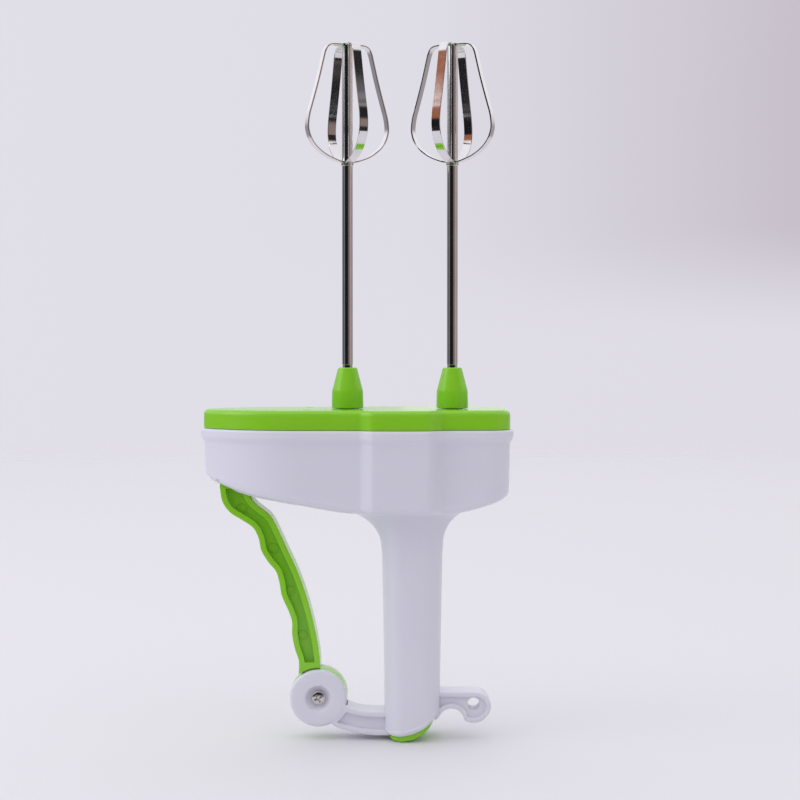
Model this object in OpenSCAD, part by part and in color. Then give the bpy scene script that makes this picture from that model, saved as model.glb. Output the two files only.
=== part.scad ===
// Hand-squeeze twin beater. Squeezing the lever towards the handle slides a
// toothed bar, and the bar turns both beaters, in opposite directions.
// The origin is the centre of the grip. +X points from the lever to the
// handle, +Z to the beaters, and the gear case is mirrored about Y = 0.

/* [Gear case] */
// Height of the case's rim above the grip's centre
rim_z = 87; // [85:0.5:90]
// Half depth of the case beside the lever
left_half = 25; // [24.5:0.5:26]
// Half depth of the case over the handle
middle_half = 28.5; // [28:0.5:30]
// Half depth of the case at its blunt end
right_half = 22.8; // [22.8:0.1:23.4]
// Height of the cover above the rim
cover_h = 8.8; // [8.6:0.1:9.4]
// Wall thickness of the mouldings
wall = 2; // [1.8:0.1:2.2]

/* [Handle] */
// Width of the handle under the case
grip_w = 27.7; // [26:0.1:29]
// Width of the handle at its heel
heel_w = 25.6; // [24:0.1:26]
// Depth of the handle
grip_d = 28; // [26:0.5:29]

/* [Lever] */
// Travel of the lever, in degrees
squeeze = 15; // [8:0.5:15]
// Thickness of the lever
lever_d = 12.5; // [12:0.1:12.8]
// Radius of the pivot's discs and of the lever's hub
hub_r = 12.8; // [12.4:0.1:13]

/* [Beaters] */
// Widest radius of a beater
beater_r = 19.6; // [18.6:0.1:20.5]
// Height of a beater's cage
cage_h = 53; // [45:1:56]
// Height of the beaters' top above the rim
beater_top = 172; // [165:1:175]
// Turn of the left beater's blades from +X; the right beater mirrors it
blade_turn = 24; // [0:1:45]

/* [Hidden] */

$fn = 48;
eps = 0.01;

// Colours
green = [0.48, 0.73, 0.18];
white = [0.88, 0.87, 0.91];
nylon = [0.93, 0.91, 0.84];
steel = [0.78, 0.78, 0.8];

// Spindles
left_x = -29.1;
right_x = 18;

// Plan of the case: a bow beside the lever, a wider middle and a blunt end
nose_tip = -95.3;
nose_r = 6;
bow_x = -50.2;
bow_len = 46.3;
bow_r = (pow(bow_len, 2) + pow(left_half, 2)) / (2 * left_half);
bow_y = bow_r - left_half;
bow_slope = atan(bow_len / bow_y);
middle_x0 = -24;
middle_x1 = 13.5;
middle_corner = 4;
end_x = 44.9;
end_corner = 13;

// Case walls, floor and rim
bead_out = 1.6;
bead_h = 4;
bead_slant = 2.3;
floor_t = 2.2;
post_foot = -38;
cover_inset = 1.4;
cover_round = 2.4;
skirt_h = 2.2;
skirt_t = 1.2;
// Underside of the case below the rim, as [x, z]
underside = [[-87.5, -24.2], [-73, -28.5], [-55, -31.9], [-28, -36.5], [19, -36.9],
             [31, -33.4], [40.5, -29.4]];

// Lever slot through the case's floor
slot_x0 = -86.9;
slot_x1 = -41.6;
slot_half = lever_d / 2 + 0.5;

// Pivot, heel and hanging lug, measured from the rim
pivot_x = -42.1;
pivot_z = rim_z - 120.75;
arm_half = 7.5;
cheek_in = 4.75;
boss_r = 6.4;
boss_in = 3.2;
hub_half = 4.6;
hub_waist = 3.05;
web_half = 2.4;
heel_x = -7.35;
heel_z = rim_z - 113.1;
heel_r = 23.9;
lug_x = 27.6;
lug_z = rim_z - 123.7;
lug_half = 6.5;
lug_hole_r = 2.8;
cap_x = -5.1;
cap_z = rim_z - 123.1;
cap_r = 16.4;
plug_w = 20.2;
plug_d = 22.4;
bore_gap = 0.15;
handle_top = rim_z - 36;
handle_ref_z = rim_z - 118;

// Screws
pivot_shank_r = 2.6;
pivot_end_r = 1.5;
pivot_head_r = 3.3;
pivot_head_h = 2;
recess_r = 5.6;
recess_floor_r = 3.9;
recess_depth = 2.7;
cover_screw_x = -47;
cover_screw_y = 13.5;
cover_screw_z0 = -12;
cover_head_r = 1.6;
cover_head_h = 1.2;
screw_r = 1.1;
post_r = 2.8;
plate_screws = [[-32, -17.5], [-32, 17.5], [33, -12], [33, 12]];

// Gears
gear_m = 1;
press_angle = 25;
addendum = 0.85;
dedendum = 1.15;
backlash = 0.16;
pinion_teeth = 10;
drive_teeth = 21;
spindle_teeth = 10;
pinion_r = gear_m * pinion_teeth / 2;
drive_r = gear_m * drive_teeth / 2;
spindle_r = gear_m * spindle_teeth / 2;
rack_pitch_y = 3.2;
axle_y = rack_pitch_y + pinion_r;
bar_half = rack_pitch_y - dedendum + 0.05;
axle_dx = sqrt(pow(drive_r + spindle_r, 2) - pow(axle_y, 2));
axle_r = 1.5;
running = 0.06;
mesh_angle = atan2(-axle_y, -axle_dx);

// Levels above the rim
rack_z0 = rim_z - 13;
rack_z1 = rim_z - 6.5;
plate_z0 = rim_z - 5;
plate_t = 2;
gear_z0 = rim_z - 2.4;
gear_z1 = rim_z + 2.6;
cover_in_z = rim_z + 6.6;
chuck_z0 = rim_z + cover_h + 0.3;

// Toothed bar and the pin that drives it
pin_x = -79.5;
pin_z = rim_z - 15;
pin_r = 1.95;
pin_play = 0.3;
rack_x0 = -84.5;
rack_x1 = 7;
yoke_w = 10;
yoke_half = 2;
tongue_gap = 0.3;
pin_reach = hypot2(pin_x - pivot_x, pin_z - pivot_z);
pin_angle = atan((pivot_x - pin_x) / (pin_z - pivot_z));
rack_travel = pin_reach * (sin(pin_angle) - sin(pin_angle - squeeze));
spring_y = 8.4;
spring_z = rim_z - 9.8;
spring_x0 = -76.5;
spring_x1 = -53;
spring_hook = 1.7;
wire_r = 0.45;
coil_r = 1.5;

// Chucks and beaters
chuck_r = 7.15;
chuck_straight = 7.9;
chuck_h = 18.2;
chuck_top_r = 4.3;
stem_r = 3.2;
spindle_shaft_r = 1.9;
shank_af = 3.9;
socket_gap = 0.1;
socket_z0 = rim_z + 13;
tube_r = 2.45;
tube_z0 = rim_z + 28.5;
cage_z0 = rim_z + beater_top - cage_h;
top_z = rim_z + beater_top;
blade_w = 4;
blade_t = 0.8;

function hypot2(a, b) = sqrt(a * a + b * b);
function polar(r, a) = [r * cos(a), r * sin(a)];
function arc(cx, cy, r, a0, a1, n = 12) =
  [for (i = [0:n]) [cx, cy] + polar(r, a0 + (a1 - a0) * i / n)];

// A smooth curve through the given points, n steps to each span
function spline(p, n = 5) = concat(
  [for (i = [0:len(p) - 2], j = [0:n - 1])
    let (a = p[max(i - 1, 0)], b = p[i], c = p[i + 1], d = p[min(i + 2, len(p) - 1)], t = j / n)
      0.5 * (2 * b + (c - a) * t + (2 * a - 5 * b + 4 * c - d) * t * t
             + (3 * b - a - 3 * c + d) * t * t * t)],
  [p[len(p) - 1]]);
function lifted(p, dz) = [for (q = p) [q[0], q[1] + dz]];

// Turns a drawing in X and Z into a plate of the given half thickness
module slab(half, y = 0) {
  translate([0, y + half, 0]) rotate([90, 0, 0]) linear_extrude(2 * half) children();
}
module span_y(y0, y1) { slab((y1 - y0) / 2, (y0 + y1) / 2) children(); }

module mirrored() {
  children();
  mirror([0, 1, 0]) children();
}

// ---- plan of the case, drawn d inside the rim's outline ----
module bow_plan(d) {
  nose_x = nose_tip + nose_r;
  cut_x = nose_x - sin(bow_slope) * (nose_r - d);
  intersection() {
    translate([bow_x, -bow_y]) circle(bow_r - d, $fn = 120);
    translate([bow_x, bow_y]) circle(bow_r - d, $fn = 120);
    translate([cut_x, -left_half]) square([bow_x - cut_x + eps, 2 * left_half]);
  }
  translate([nose_x, 0]) circle(nose_r - d);
}
module left_plan(d) {
  bow_plan(d);
  translate([bow_x, d - left_half]) square([middle_x0 + 6 - bow_x, 2 * (left_half - d)]);
}
module rounded_square(x0, y0, x1, y1, r) {
  translate([x0 + r, y0]) square([x1 - x0 - 2 * r, y1 - y0]);
  translate([x0, y0 + r]) square([x1 - x0, y1 - y0 - 2 * r]);
  for (x = [x0 + r, x1 - r], y = [y0 + r, y1 - r]) translate([x, y]) circle(r);
}
module middle_plan(d) {
  rounded_square(middle_x0 + d, d - middle_half, middle_x1 - d, middle_half - d, middle_corner);
}
module right_plan(d) {
  rounded_square(-10, d - right_half, end_x - d, right_half - d, end_corner - d);
}
module plan(d) {
  left_plan(d);
  middle_plan(d);
  right_plan(d);
}

// ---- housing ----
// Front view of the case, from its rim down to its sloping underside
module case_profile() {
  polygon(concat([[nose_tip - 5, rim_z - 1], [nose_tip + bead_out + 0.8, rim_z - 12]],
                 arc(nose_tip + 8.6, rim_z - 17.2, 6, 180, 240, 4),
                 lifted(underside, rim_z),
                 arc(end_x - 7.4, rim_z - 25.4, 5.2, -50, 0, 4),
                 [[end_x + 5, rim_z - 1]]));
}
module case_block() {
  intersection() {
    translate([0, 0, rim_z - 50]) linear_extrude(50 - bead_h) plan(bead_out);
    slab(60) case_profile();
  }
  translate([0, 0, rim_z - bead_h]) linear_extrude(bead_h) plan(0);
  translate([0, 0, rim_z - bead_h - bead_slant]) linear_extrude(bead_slant + eps)
    plan(bead_out / 2);
}

module case_cavity() {
  d = bead_out + wall + 0.4;
  intersection() {
    translate([0, 0, rim_z - 50]) linear_extrude(60) plan(d);
    slab(60)
      polygon(concat([[-100, rim_z + 5], [-100, rim_z + underside[0][1] + floor_t + 4]],
                     lifted(underside, rim_z + floor_t),
                     [[60, rim_z - 22], [60, rim_z + 5]]));
  }
  // Step that the cover's skirt drops into
  translate([0, 0, rim_z - skirt_h]) linear_extrude(skirt_h + 1) plan(cover_inset + 1.2);
}

module floor_post(x, y, top, r) {
  translate([x, y, rim_z + post_foot]) cylinder(h = top - rim_z - post_foot, r = r);
}

// Cross wall with a notch that the toothed bar slides in
module rack_guide(x0, w) {
  notch = rack_pitch_y + addendum + 0.25;
  difference() {
    translate([x0, -12, rim_z + post_foot]) cube([w, 24, plate_z0 - rim_z - post_foot - 0.2]);
    translate([x0 - 1, -notch, rack_z0 - 0.2]) cube([w + 2, 2 * notch, 20]);
  }
}

module handle_body() {
  r = 9;
  dx = (grip_w - heel_w) / 2;
  intersection() {
    hull() {
      translate([0, 0, handle_top]) linear_extrude(1)
        rounded_square(-grip_w / 2, -grip_d / 2, grip_w / 2, grip_d / 2, r);
      translate([0, 0, handle_ref_z - 30]) linear_extrude(1)
        rounded_square(-grip_w / 2 + 1.4 * dx, -grip_d / 2 + dx,
                       grip_w / 2 - 1.4 * dx, grip_d / 2 - dx, r);
    }
    slab(40) {
      translate([-40, heel_z]) square([80, 120]);
      translate([heel_x, heel_z]) circle(heel_r, $fn = 128);
      translate([-20, heel_z - 16]) square([heel_x + 20, 17]);
    }
  }
}

// Blend between the case's underside and the handle, on one side
module flare(dir, r) {
  x = dir * (grip_w / 2 - 0.1);
  z = rim_z + underside[3][1];
  span_y(3 - grip_d / 2, grip_d / 2 - 3)
    polygon(concat([[x - dir * 5, z + 4], [x - dir * 5, z - r]],
                   arc(x + dir * r, z - r, r, dir > 0 ? 180 : 0, 90, 8),
                   [[x + dir * r, z + 4]]));
}

// Outline of the arm that carries the pivot's discs, as [x, z below the rim]
module arm_outline() {
  top = [[-31, -123.4], [-26, -125.6], [-20, -126.7], [-10, -126.9]];
  low = [[-10, -137.4], [-18, -137.3], [-26, -136], [-34, -133.6], [-40, -130]];
  polygon(lifted(concat(spline(top), spline(low)), rim_z));
}
module arm_pocket() {
  top = [[-30, -127], [-26, -127.6], [-20, -128.7], [-13.2, -128.9]];
  low = [[-13.2, -135.3], [-18, -135.2], [-26, -134], [-33, -132]];
  polygon(lifted(concat(spline(top), spline(low)), rim_z));
}

module lug_outline() {
  polygon(concat(
    [[5, rim_z - 118.1]],
    arc(28.4, rim_z - 125.1, 7, 90, 0),
    arc(27.4, rim_z - 124, 8, -8, -118),
    arc(17.6, rim_z - 131.2, 5.7, 20, 140),
    [[11.5, rim_z - 130], [5, rim_z - 135]]));
}
module lug_pocket() {
  difference() {
    polygon(concat(
      [[12.4, rim_z - 120.1]],
      arc(28.4, rim_z - 125.1, 5, 90, 0),
      arc(27.4, rim_z - 124, 6, -11, -118),
      arc(17.6, rim_z - 131.2, 7.7, 25, 128),
      [[12.2, rim_z - 127]]));
    translate([lug_x, lug_z]) circle(lug_hole_r + 1.8);
  }
}

// Arm with the two discs that hold the lever's hub between them
module arm() {
  difference() {
    union() {
      difference() {
        slab(arm_half) arm_outline();
        mirrored() span_y(-30, -web_half) arm_pocket();
      }
      slab(arm_half) translate([pivot_x, pivot_z]) circle(hub_r, $fn = 96);
    }
    difference() {
      slab(cheek_in) translate([pivot_x, pivot_z]) circle(hub_r + 0.6, $fn = 96);
      mirrored() span_y(-cheek_in - 1, -boss_in) translate([pivot_x, pivot_z]) circle(boss_r);
    }
    pivot_recess();
    span_y(-20, 0) translate([pivot_x, pivot_z]) circle(pivot_shank_r + 0.05);
    span_y(0, 6.6) translate([pivot_x, pivot_z]) circle(pivot_end_r);
  }
}
module lug() {
  difference() {
    slab(lug_half) lug_outline();
    mirrored() span_y(-30, -web_half) lug_pocket();
    slab(30) translate([lug_x, lug_z]) circle(lug_hole_r);
  }
}

module pivot_recess() {
  translate([pivot_x, -arm_half - eps, pivot_z]) rotate([-90, 0, 0])
    cylinder(h = recess_depth, r1 = recess_r, r2 = recess_floor_r);
}

module housing() color(white) {
  difference() {
    union() {
      case_block();
      handle_body();
      flare(-1, 11);
      flare(1, 9);
      arm();
      lug();
    }
    difference() {
      case_cavity();
      for (p = plate_screws) floor_post(p[0], p[1], plate_z0, post_r);
      mirrored() floor_post(cover_screw_x, cover_screw_y, rim_z - 0.3, post_r);
      floor_post(left_x + axle_dx, axle_y, rack_z0 - 0.4, 3.6);
      floor_post(right_x - axle_dx, -axle_y, rack_z0 - 0.4, 3.6);
      floor_post(spring_x0, spring_y, spring_z + 2, 1.3);
      rack_guide(-7.4, 3.5);
      rack_guide(13.5, 3);
    }
    translate([slot_x0, -slot_half, rim_z - 40])
      cube([slot_x1 - slot_x0, 2 * slot_half, 40 - 16]);
    // Hollow handle
    translate([0, 0, rim_z - 150]) linear_extrude(108)
      rounded_square(-plug_w / 2 - bore_gap, -plug_d / 2 - bore_gap,
                     plug_w / 2 + bore_gap, plug_d / 2 + bore_gap, 6);
    // Screw and axle holes
    for (p = plate_screws)
      translate([p[0], p[1], plate_z0 - 9]) cylinder(h = 20, r = screw_r);
    mirrored()
      translate([cover_screw_x, cover_screw_y, rim_z + cover_screw_z0])
        cylinder(h = 20, r = screw_r);
    translate([left_x + axle_dx, axle_y, rim_z - 22]) cylinder(h = 20, r = axle_r);
    translate([right_x - axle_dx, -axle_y, rim_z - 22]) cylinder(h = 20, r = axle_r);
  }
}

// ---- cover ----
module cover_block(d, z0, z1) { translate([0, 0, z0]) linear_extrude(z1 - z0) plan(d); }

// One convex section of the cover, from three outlines: side, rounding and top
module cover_section() {
  hull() {
    translate([0, 0, rim_z]) linear_extrude(cover_h - cover_round) children(0);
    translate([0, 0, rim_z + cover_h - cover_round * 0.3]) linear_extrude(eps) children(1);
    translate([0, 0, rim_z + cover_h - eps]) linear_extrude(eps) children(2);
  }
}
module spindle_holes(r) {
  for (x = [left_x, right_x]) translate([x, 0, rim_z - 1]) cylinder(h = 30, r = r);
}
module cover() color(green) {
  difference() {
    union() {
      difference() {
        union() {
          cover_section() {
            left_plan(cover_inset);
            left_plan(cover_inset + cover_round * 0.3);
            left_plan(cover_inset + cover_round);
          }
          cover_section() {
            middle_plan(cover_inset);
            middle_plan(cover_inset + cover_round * 0.3);
            middle_plan(cover_inset + cover_round);
          }
          cover_section() {
            right_plan(cover_inset);
            right_plan(cover_inset + cover_round * 0.3);
            right_plan(cover_inset + cover_round);
          }
          cover_block(cover_inset + 1.3, rim_z - skirt_h + 0.2, rim_z + 1);
        }
        cover_block(cover_inset + 1.3 + skirt_t, rim_z - 5, cover_in_z);
      }
      // Bosses over the spindles, the drive gears' axles and the screws
      for (x = [left_x, right_x])
        translate([x, 0, gear_z1 + 0.4]) cylinder(h = cover_in_z - gear_z1, r = 7);
      translate([left_x + axle_dx, axle_y, gear_z1 + 0.4]) cylinder(h = 4, r = 3.4);
      translate([right_x - axle_dx, -axle_y, gear_z1 + 0.4]) cylinder(h = 4, r = 3.4);
      mirrored()
        translate([cover_screw_x, cover_screw_y, rim_z - 0.2]) cylinder(h = 7, r = post_r);
    }
    spindle_holes(4.6);
    translate([left_x + axle_dx, axle_y, rim_z]) cylinder(h = 6, r = axle_r);
    translate([right_x - axle_dx, -axle_y, rim_z]) cylinder(h = 6, r = axle_r);
    mirrored() translate([cover_screw_x, cover_screw_y, 0]) {
      translate([0, 0, rim_z - 1]) cylinder(h = 20, r = screw_r + 0.2);
      translate([0, 0, rim_z + cover_h - cover_head_h - 0.4])
        cylinder(h = 5, r = cover_head_r + 0.15);
    }
  }
}

// Self-tapping pan-head screw along +Z, its head on z = 0
module screw(length, r, head_r, head_h) {
  translate([0, 0, -length]) cylinder(h = length + eps, r = r);
  difference() {
    intersection() {
      cylinder(h = head_h, r = head_r);
      translate([0, 0, head_h - head_r * 2.2]) sphere(head_r * 2.2);
    }
    for (a = [0, 90]) rotate(a)
      translate([-head_r * 0.6, -head_r * 0.14, head_h * 0.4])
        cube([head_r * 1.2, head_r * 0.28, head_h]);
  }
}
module cover_screws() color(steel) mirrored()
  translate([cover_screw_x, cover_screw_y, rim_z + cover_h - cover_head_h - 0.4])
    screw(16, screw_r, cover_head_r, cover_head_h);

module gear_plate_screws() color(steel) for (p = plate_screws)
  translate([p[0], p[1], plate_z0 + plate_t]) screw(9, screw_r, 2.2, 1.3);

module pivot_screw() color(steel)
  translate([pivot_x, -arm_half + recess_depth, pivot_z]) rotate([90, 0, 0]) {
    screw(arm_half - recess_depth + boss_in, pivot_shank_r, pivot_head_r, pivot_head_h);
    translate([0, 0, -11]) cylinder(h = 7, r = pivot_end_r);
  }

module gear_plate() color(nylon) difference() {
  union() {
    translate([-36, -20.2, plate_z0]) cube([44, 40.4, plate_t]);
    translate([-36, -15.4, plate_z0]) cube([72, 30.8, plate_t]);
    for (x = [left_x, right_x])
      translate([x, 0, plate_z0]) cylinder(h = plate_t + 0.4, r = 4);
  }
  for (x = [left_x, right_x])
    translate([x, 0, plate_z0 - 1]) cylinder(h = 5, r = spindle_shaft_r + running);
  translate([left_x + axle_dx, axle_y, plate_z0 - 1]) cylinder(h = 5, r = 6.3);
  translate([right_x - axle_dx, -axle_y, plate_z0 - 1]) cylinder(h = 5, r = 6.3);
  for (p = plate_screws) translate([p[0], p[1], plate_z0 - 1]) cylinder(h = 5, r = screw_r + 0.2);
}

module end_cap() color(green) difference() {
  intersection() {
    translate([0, 0, cap_z - 30]) linear_extrude(34)
      rounded_square(-plug_w / 2, -plug_d / 2, plug_w / 2, plug_d / 2, 6);
    slab(40) {
      translate([-20, cap_z]) square([40, 10]);
      translate([cap_x, cap_z]) circle(cap_r, $fn = 128);
    }
  }
  translate([0, 0, cap_z - 8]) linear_extrude(34)
    rounded_square(-plug_w / 2 + 2, -plug_d / 2 + 2, plug_w / 2 - 2, plug_d / 2 - 2, 4);
}

// ---- gears ----
// Involute flank, as the half angle of a tooth at radius r
function inv(a) = tan(a) * 180 / PI - a;
function tooth_half(teeth, r) =
  let (pr = gear_m * teeth / 2, br = pr * cos(press_angle))
    90 / teeth - backlash / 4 / pr * 180 / PI + inv(press_angle)
      - inv(acos(min(1, br / max(r, br))));
module gear_2d(teeth, turn) {
  pr = gear_m * teeth / 2;
  r0 = pr - dedendum * gear_m;
  r1 = pr + addendum * gear_m;
  steps = 5;
  radii = [for (i = [0:steps]) r0 + (r1 - r0) * i / steps];
  rotate(turn) polygon([for (k = [0:teeth - 1]) let (c = k * 360 / teeth)
    each concat(
      [for (i = [0:steps]) polar(radii[i], c - tooth_half(teeth, radii[i]))],
      [for (i = [steps:-1:0]) polar(radii[i], c + tooth_half(teeth, radii[i]))])]);
}

// Pinion below and drive gear above, on one hub; side is 1 for the left one
module drive_gear(side) color(nylon) {
  x = side > 0 ? left_x + axle_dx : right_x - axle_dx;
  translate([x, side * axle_y, 0]) difference() {
    union() {
      translate([0, 0, rack_z0 + 0.3]) linear_extrude(6.5) gear_2d(pinion_teeth, -90 * side);
      translate([0, 0, rack_z0 + 6.7]) cylinder(h = gear_z0 - rack_z0 - 6.6, r = 3.7);
      translate([0, 0, gear_z0]) linear_extrude(gear_z1 - gear_z0)
        gear_2d(drive_teeth, side > 0 ? mesh_angle : mesh_angle + 180);
    }
    translate([0, 0, rack_z0 - 1]) cylinder(h = 40, r = axle_r + running);
    // Lightening ring in the gear's upper face
    translate([0, 0, gear_z1 - 1]) difference() {
      cylinder(h = 2, r = drive_r - 2.6);
      cylinder(h = 5, r = 4, center = true);
    }
  }
}
module gear_axle(side) color(steel)
  translate([side > 0 ? left_x + axle_dx : right_x - axle_dx, side * axle_y, rim_z - 22])
    cylinder(h = 22 + 5.8, r = axle_r);

module spindle_gear(side) color(nylon)
  translate([side > 0 ? left_x : right_x, 0, gear_z0]) difference() {
    linear_extrude(gear_z1 - gear_z0)
      gear_2d(spindle_teeth, (side > 0 ? mesh_angle + 180 : mesh_angle) + 180 / spindle_teeth);
    translate([0, 0, -1]) cylinder(h = 10, r = spindle_shaft_r);
  }
module spindle(side) color(steel)
  translate([side > 0 ? left_x : right_x, 0, plate_z0 - 0.6])
    cylinder(h = socket_z0 - plate_z0 - 1, r = spindle_shaft_r);
module spindle_bush(side) color(steel)
  translate([side > 0 ? left_x : right_x, 0, gear_z1 + 0.4]) difference() {
    cylinder(h = rim_z + cover_h - gear_z1 - 0.4, r = 4.6);
    translate([0, 0, -1]) cylinder(h = 20, r = stem_r + running);
  }
module chuck(side) color(green)
  translate([side > 0 ? left_x : right_x, 0, 0]) difference() {
    union() {
      translate([0, 0, gear_z1 + 0.05]) cylinder(h = chuck_z0 - gear_z1, r = stem_r);
      rotate_extrude() polygon([[0, chuck_z0], [chuck_r, chuck_z0],
        [chuck_r, chuck_z0 + 0.8], [chuck_r - 0.25, chuck_z0 + chuck_straight],
        [chuck_top_r, chuck_z0 + chuck_h - 0.4], [chuck_top_r - 0.5, chuck_z0 + chuck_h],
        [0, chuck_z0 + chuck_h]]);
    }
    translate([0, 0, gear_z1 - 1]) cylinder(h = socket_z0 - gear_z1 - 0.6, r = spindle_shaft_r);
    translate([0, 0, socket_z0]) cylinder(h = 40, r = shank_af / sqrt(3) + socket_gap, $fn = 6);
  }

// ---- lever and toothed bar ----
// Outline of the lever, as [x, z below the rim]: four finger grips, then the smooth edge
finger_edge = spline([[-86.2, -25.5], [-85, -32.5], [-81.5, -37.5], [-76, -41], [-71.3, -44.3],
                      [-68.8, -49], [-67.6, -54.5], [-64.5, -59.7], [-61, -64], [-59.5, -69],
                      [-58.4, -75], [-55.5, -81.5], [-53.9, -86.5], [-53.8, -92.5],
                      [-52.6, -98.7], [-50.9, -104], [-50.9, -110]], 4);
palm_edge = spline([[-41.3, -108], [-41.4, -103], [-42.4, -95.6], [-44.7, -84.8], [-47.7, -74],
                    [-51.6, -63.3], [-56.2, -53.3], [-60.8, -43.3], [-63.5, -38.8],
                    [-66.5, -36.2], [-70.1, -33.3], [-72.7, -29.9], [-73.6, -26]], 3);
module lever_outline() {
  polygon(lifted(concat(finger_edge, palm_edge), rim_z));
}
module lever_tongue() {
  polygon(lifted([[-86.2, -25.6], [-73.6, -26.1], [-74.8, -15], [-84.2, -15]], rim_z));
  translate([pin_x, pin_z]) circle(4.6);
}
module lever_channel() {
  intersection() {
    offset(r = 1) offset(delta = -3.5) lever_outline();
    translate([-90, rim_z - 104.8]) square([80, 80]);
  }
}
module lever() color(green) difference() {
  union() {
    difference() {
      slab(lever_d / 2) lever_outline();
      // Room for the discs: the thick lever ends in an arc around them
      mirrored() span_y(-20, -hub_half)
        translate([pivot_x, pivot_z]) circle(hub_r + 0.9, $fn = 96);
      mirrored() span_y(-20, -1.5) lever_channel();
    }
    slab(hub_half) translate([pivot_x, pivot_z]) circle(hub_r, $fn = 96);
    span_y(-lever_d / 2, -yoke_half - tongue_gap) lever_tongue();
    // Round pads on the web, left by the mould's ejector pins
    for (p = [[-76.6, -36], [-62.3, -53.8], [-54.8, -73], [-49.2, -93]])
      slab(1.9) translate([p[0], rim_z + p[1]]) circle(1.9);
  }
  mirrored() span_y(-20, -hub_waist) translate([pivot_x, pivot_z]) circle(boss_r + 0.3);
  slab(20) translate([pivot_x, pivot_z]) circle(pivot_shank_r + running);
  span_y(-5.2, 5) translate([pin_x, pin_z]) circle(pin_r);
}
module lever_pin() color(steel)
  span_y(-5.2, yoke_half) translate([pin_x, pin_z]) circle(pin_r);

// Straight teeth along +X on the +Y side, from x0 to x1, with a gap at phase
module rack_teeth(x0, x1, phase) {
  pitch = PI * gear_m;
  half = pitch / 4 - backlash / 4;
  lean = tan(press_angle);
  first = ceil((x0 - phase) / pitch);
  last = floor((x1 - phase) / pitch) - 1;
  for (k = [first:last])
    translate([phase + (k + 0.5) * pitch, rack_pitch_y])
      polygon([[-half - dedendum * lean, -dedendum - eps],
               [half + dedendum * lean, -dedendum - eps],
               [half - addendum * lean, addendum], [-half + addendum * lean, addendum]]);
}
module rack() color(nylon) difference() {
  union() {
    translate([rack_x0 + 1, -bar_half, rack_z0])
      cube([rack_x1 - rack_x0 - 1, 2 * bar_half, rack_z1 - rack_z0]);
    translate([0, 0, rack_z0]) linear_extrude(rack_z1 - rack_z0) {
      pl = left_x + axle_dx;
      rack_teeth(pl - rack_travel - 4.5, pl + 4.5, pl);
      pr = right_x - axle_dx;
      mirror([0, 1, 0]) rack_teeth(pr - rack_travel - 4.5, rack_x1 + 0.5, pr);
    }
    translate([spring_x1 - 1.2, 0, spring_z - 0.7]) cube([2.4, spring_y + 1.2, 1.4]);
    translate([pin_x - yoke_w / 2, -yoke_half, rim_z - 17.8])
      cube([yoke_w, 2 * yoke_half, 13.8]);
  }
  // Narrow the end beside the lever's tongue
  translate([rack_x0 - 1, -5, rim_z - 30]) cube([18, 5 - yoke_half, 30]);
  translate([pin_x - pin_r - pin_play, -5, rim_z - 20])
    cube([2 * (pin_r + pin_play), 10, 13.3]);
  // Eye for the spring's hook
  translate([spring_x1, spring_y, spring_z - 5]) cylinder(h = 10, r = wire_r + 0.25);
}

module return_spring() color(steel) {
  coiled = spring_x1 - spring_x0 - 4 * spring_hook;
  turns = floor(coiled / (2 * wire_r) * 1.04);
  translate([spring_x0 + 2 * spring_hook, spring_y, spring_z]) rotate([0, 90, 0])
    rotate_extrude($fn = 24)
      for (i = [0:turns]) translate([coil_r, i * coiled / turns]) circle(wire_r, $fn = 16);
  // Flat loops around the post and through the bar's eye
  translate([spring_x0 + 0.3, spring_y, spring_z]) rotate_extrude($fn = 24)
    translate([spring_hook + wire_r, 0]) circle(wire_r, $fn = 16);
  translate([spring_x1 - spring_hook + 0.1, spring_y, spring_z]) rotate([90, 0, 0]) rotate_extrude($fn = 24)
    translate([spring_hook, 0]) circle(wire_r, $fn = 16);
}

// ---- beaters ----
// Radius of a blade's outer face at height h above the cage's foot
blade_line = spline([[2.6, 0], [5, 0.5], [10.5, 2.7], [15.2, 6.1], [18, 9.8], [19.3, 13.4],
                     [beater_r, 16.5], [beater_r - 0.6, 21], [17.9, 25], [16.3, 30.5],
                     [14.3, 37.8], [12.4, 45.6], [11.4, 49.4], [9.9, cage_h - 1.1],
                     [7.3, cage_h - 0.1], [2.6, cage_h]], 4);
module blade_half() {
  inner = [for (i = [0:len(blade_line) - 1])
    let (a = blade_line[max(i - 1, 0)], b = blade_line[min(i + 1, len(blade_line) - 1)],
         d = b - a, n = hypot2(d[0], d[1]))
      blade_line[i] + blade_t * [-d[1], d[0]] / n];
  translate([0, 0, cage_z0]) slab(blade_w / 2)
    intersection() {
      polygon(concat(blade_line, [for (i = [len(inner) - 1:-1:0]) inner[i]]));
      translate([tube_r - 0.6, -5]) square([60, cage_h + 10]);
    }
}
module blade(side, which) color(steel)
  translate([side > 0 ? left_x : right_x, 0, 0])
    rotate(side * (blade_turn + 90 * which)) difference() {
      for (s = [0, 180]) rotate(s) blade_half();
      translate([0, 0, cage_z0 - 5]) cylinder(h = cage_h + 20, r = tube_r);
    }
module blade_foot(side) color(steel)
  translate([side > 0 ? left_x : right_x, 0, cage_z0 - 1.6]) difference() {
    cylinder(h = 1.5, r = 3.6);
    translate([0, 0, -1]) cylinder(h = 5, r = tube_r);
  }
module blade_cap(side) color(steel)
  translate([side > 0 ? left_x : right_x, 0, top_z + 0.05])
    rotate_extrude() polygon(concat([[0, 0], [3.3, 0]], arc(0, -5.4, 6.4, 62, 83, 3), [[0, 1]]));
module beater_shaft(side) color(steel)
  translate([side > 0 ? left_x : right_x, 0, 0]) {
    translate([0, 0, tube_z0]) cylinder(h = top_z - tube_z0, r = tube_r);
    translate([0, 0, socket_z0 + 0.3])
      cylinder(h = tube_z0 - socket_z0, r = shank_af / sqrt(3), $fn = 6);
  }

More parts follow.
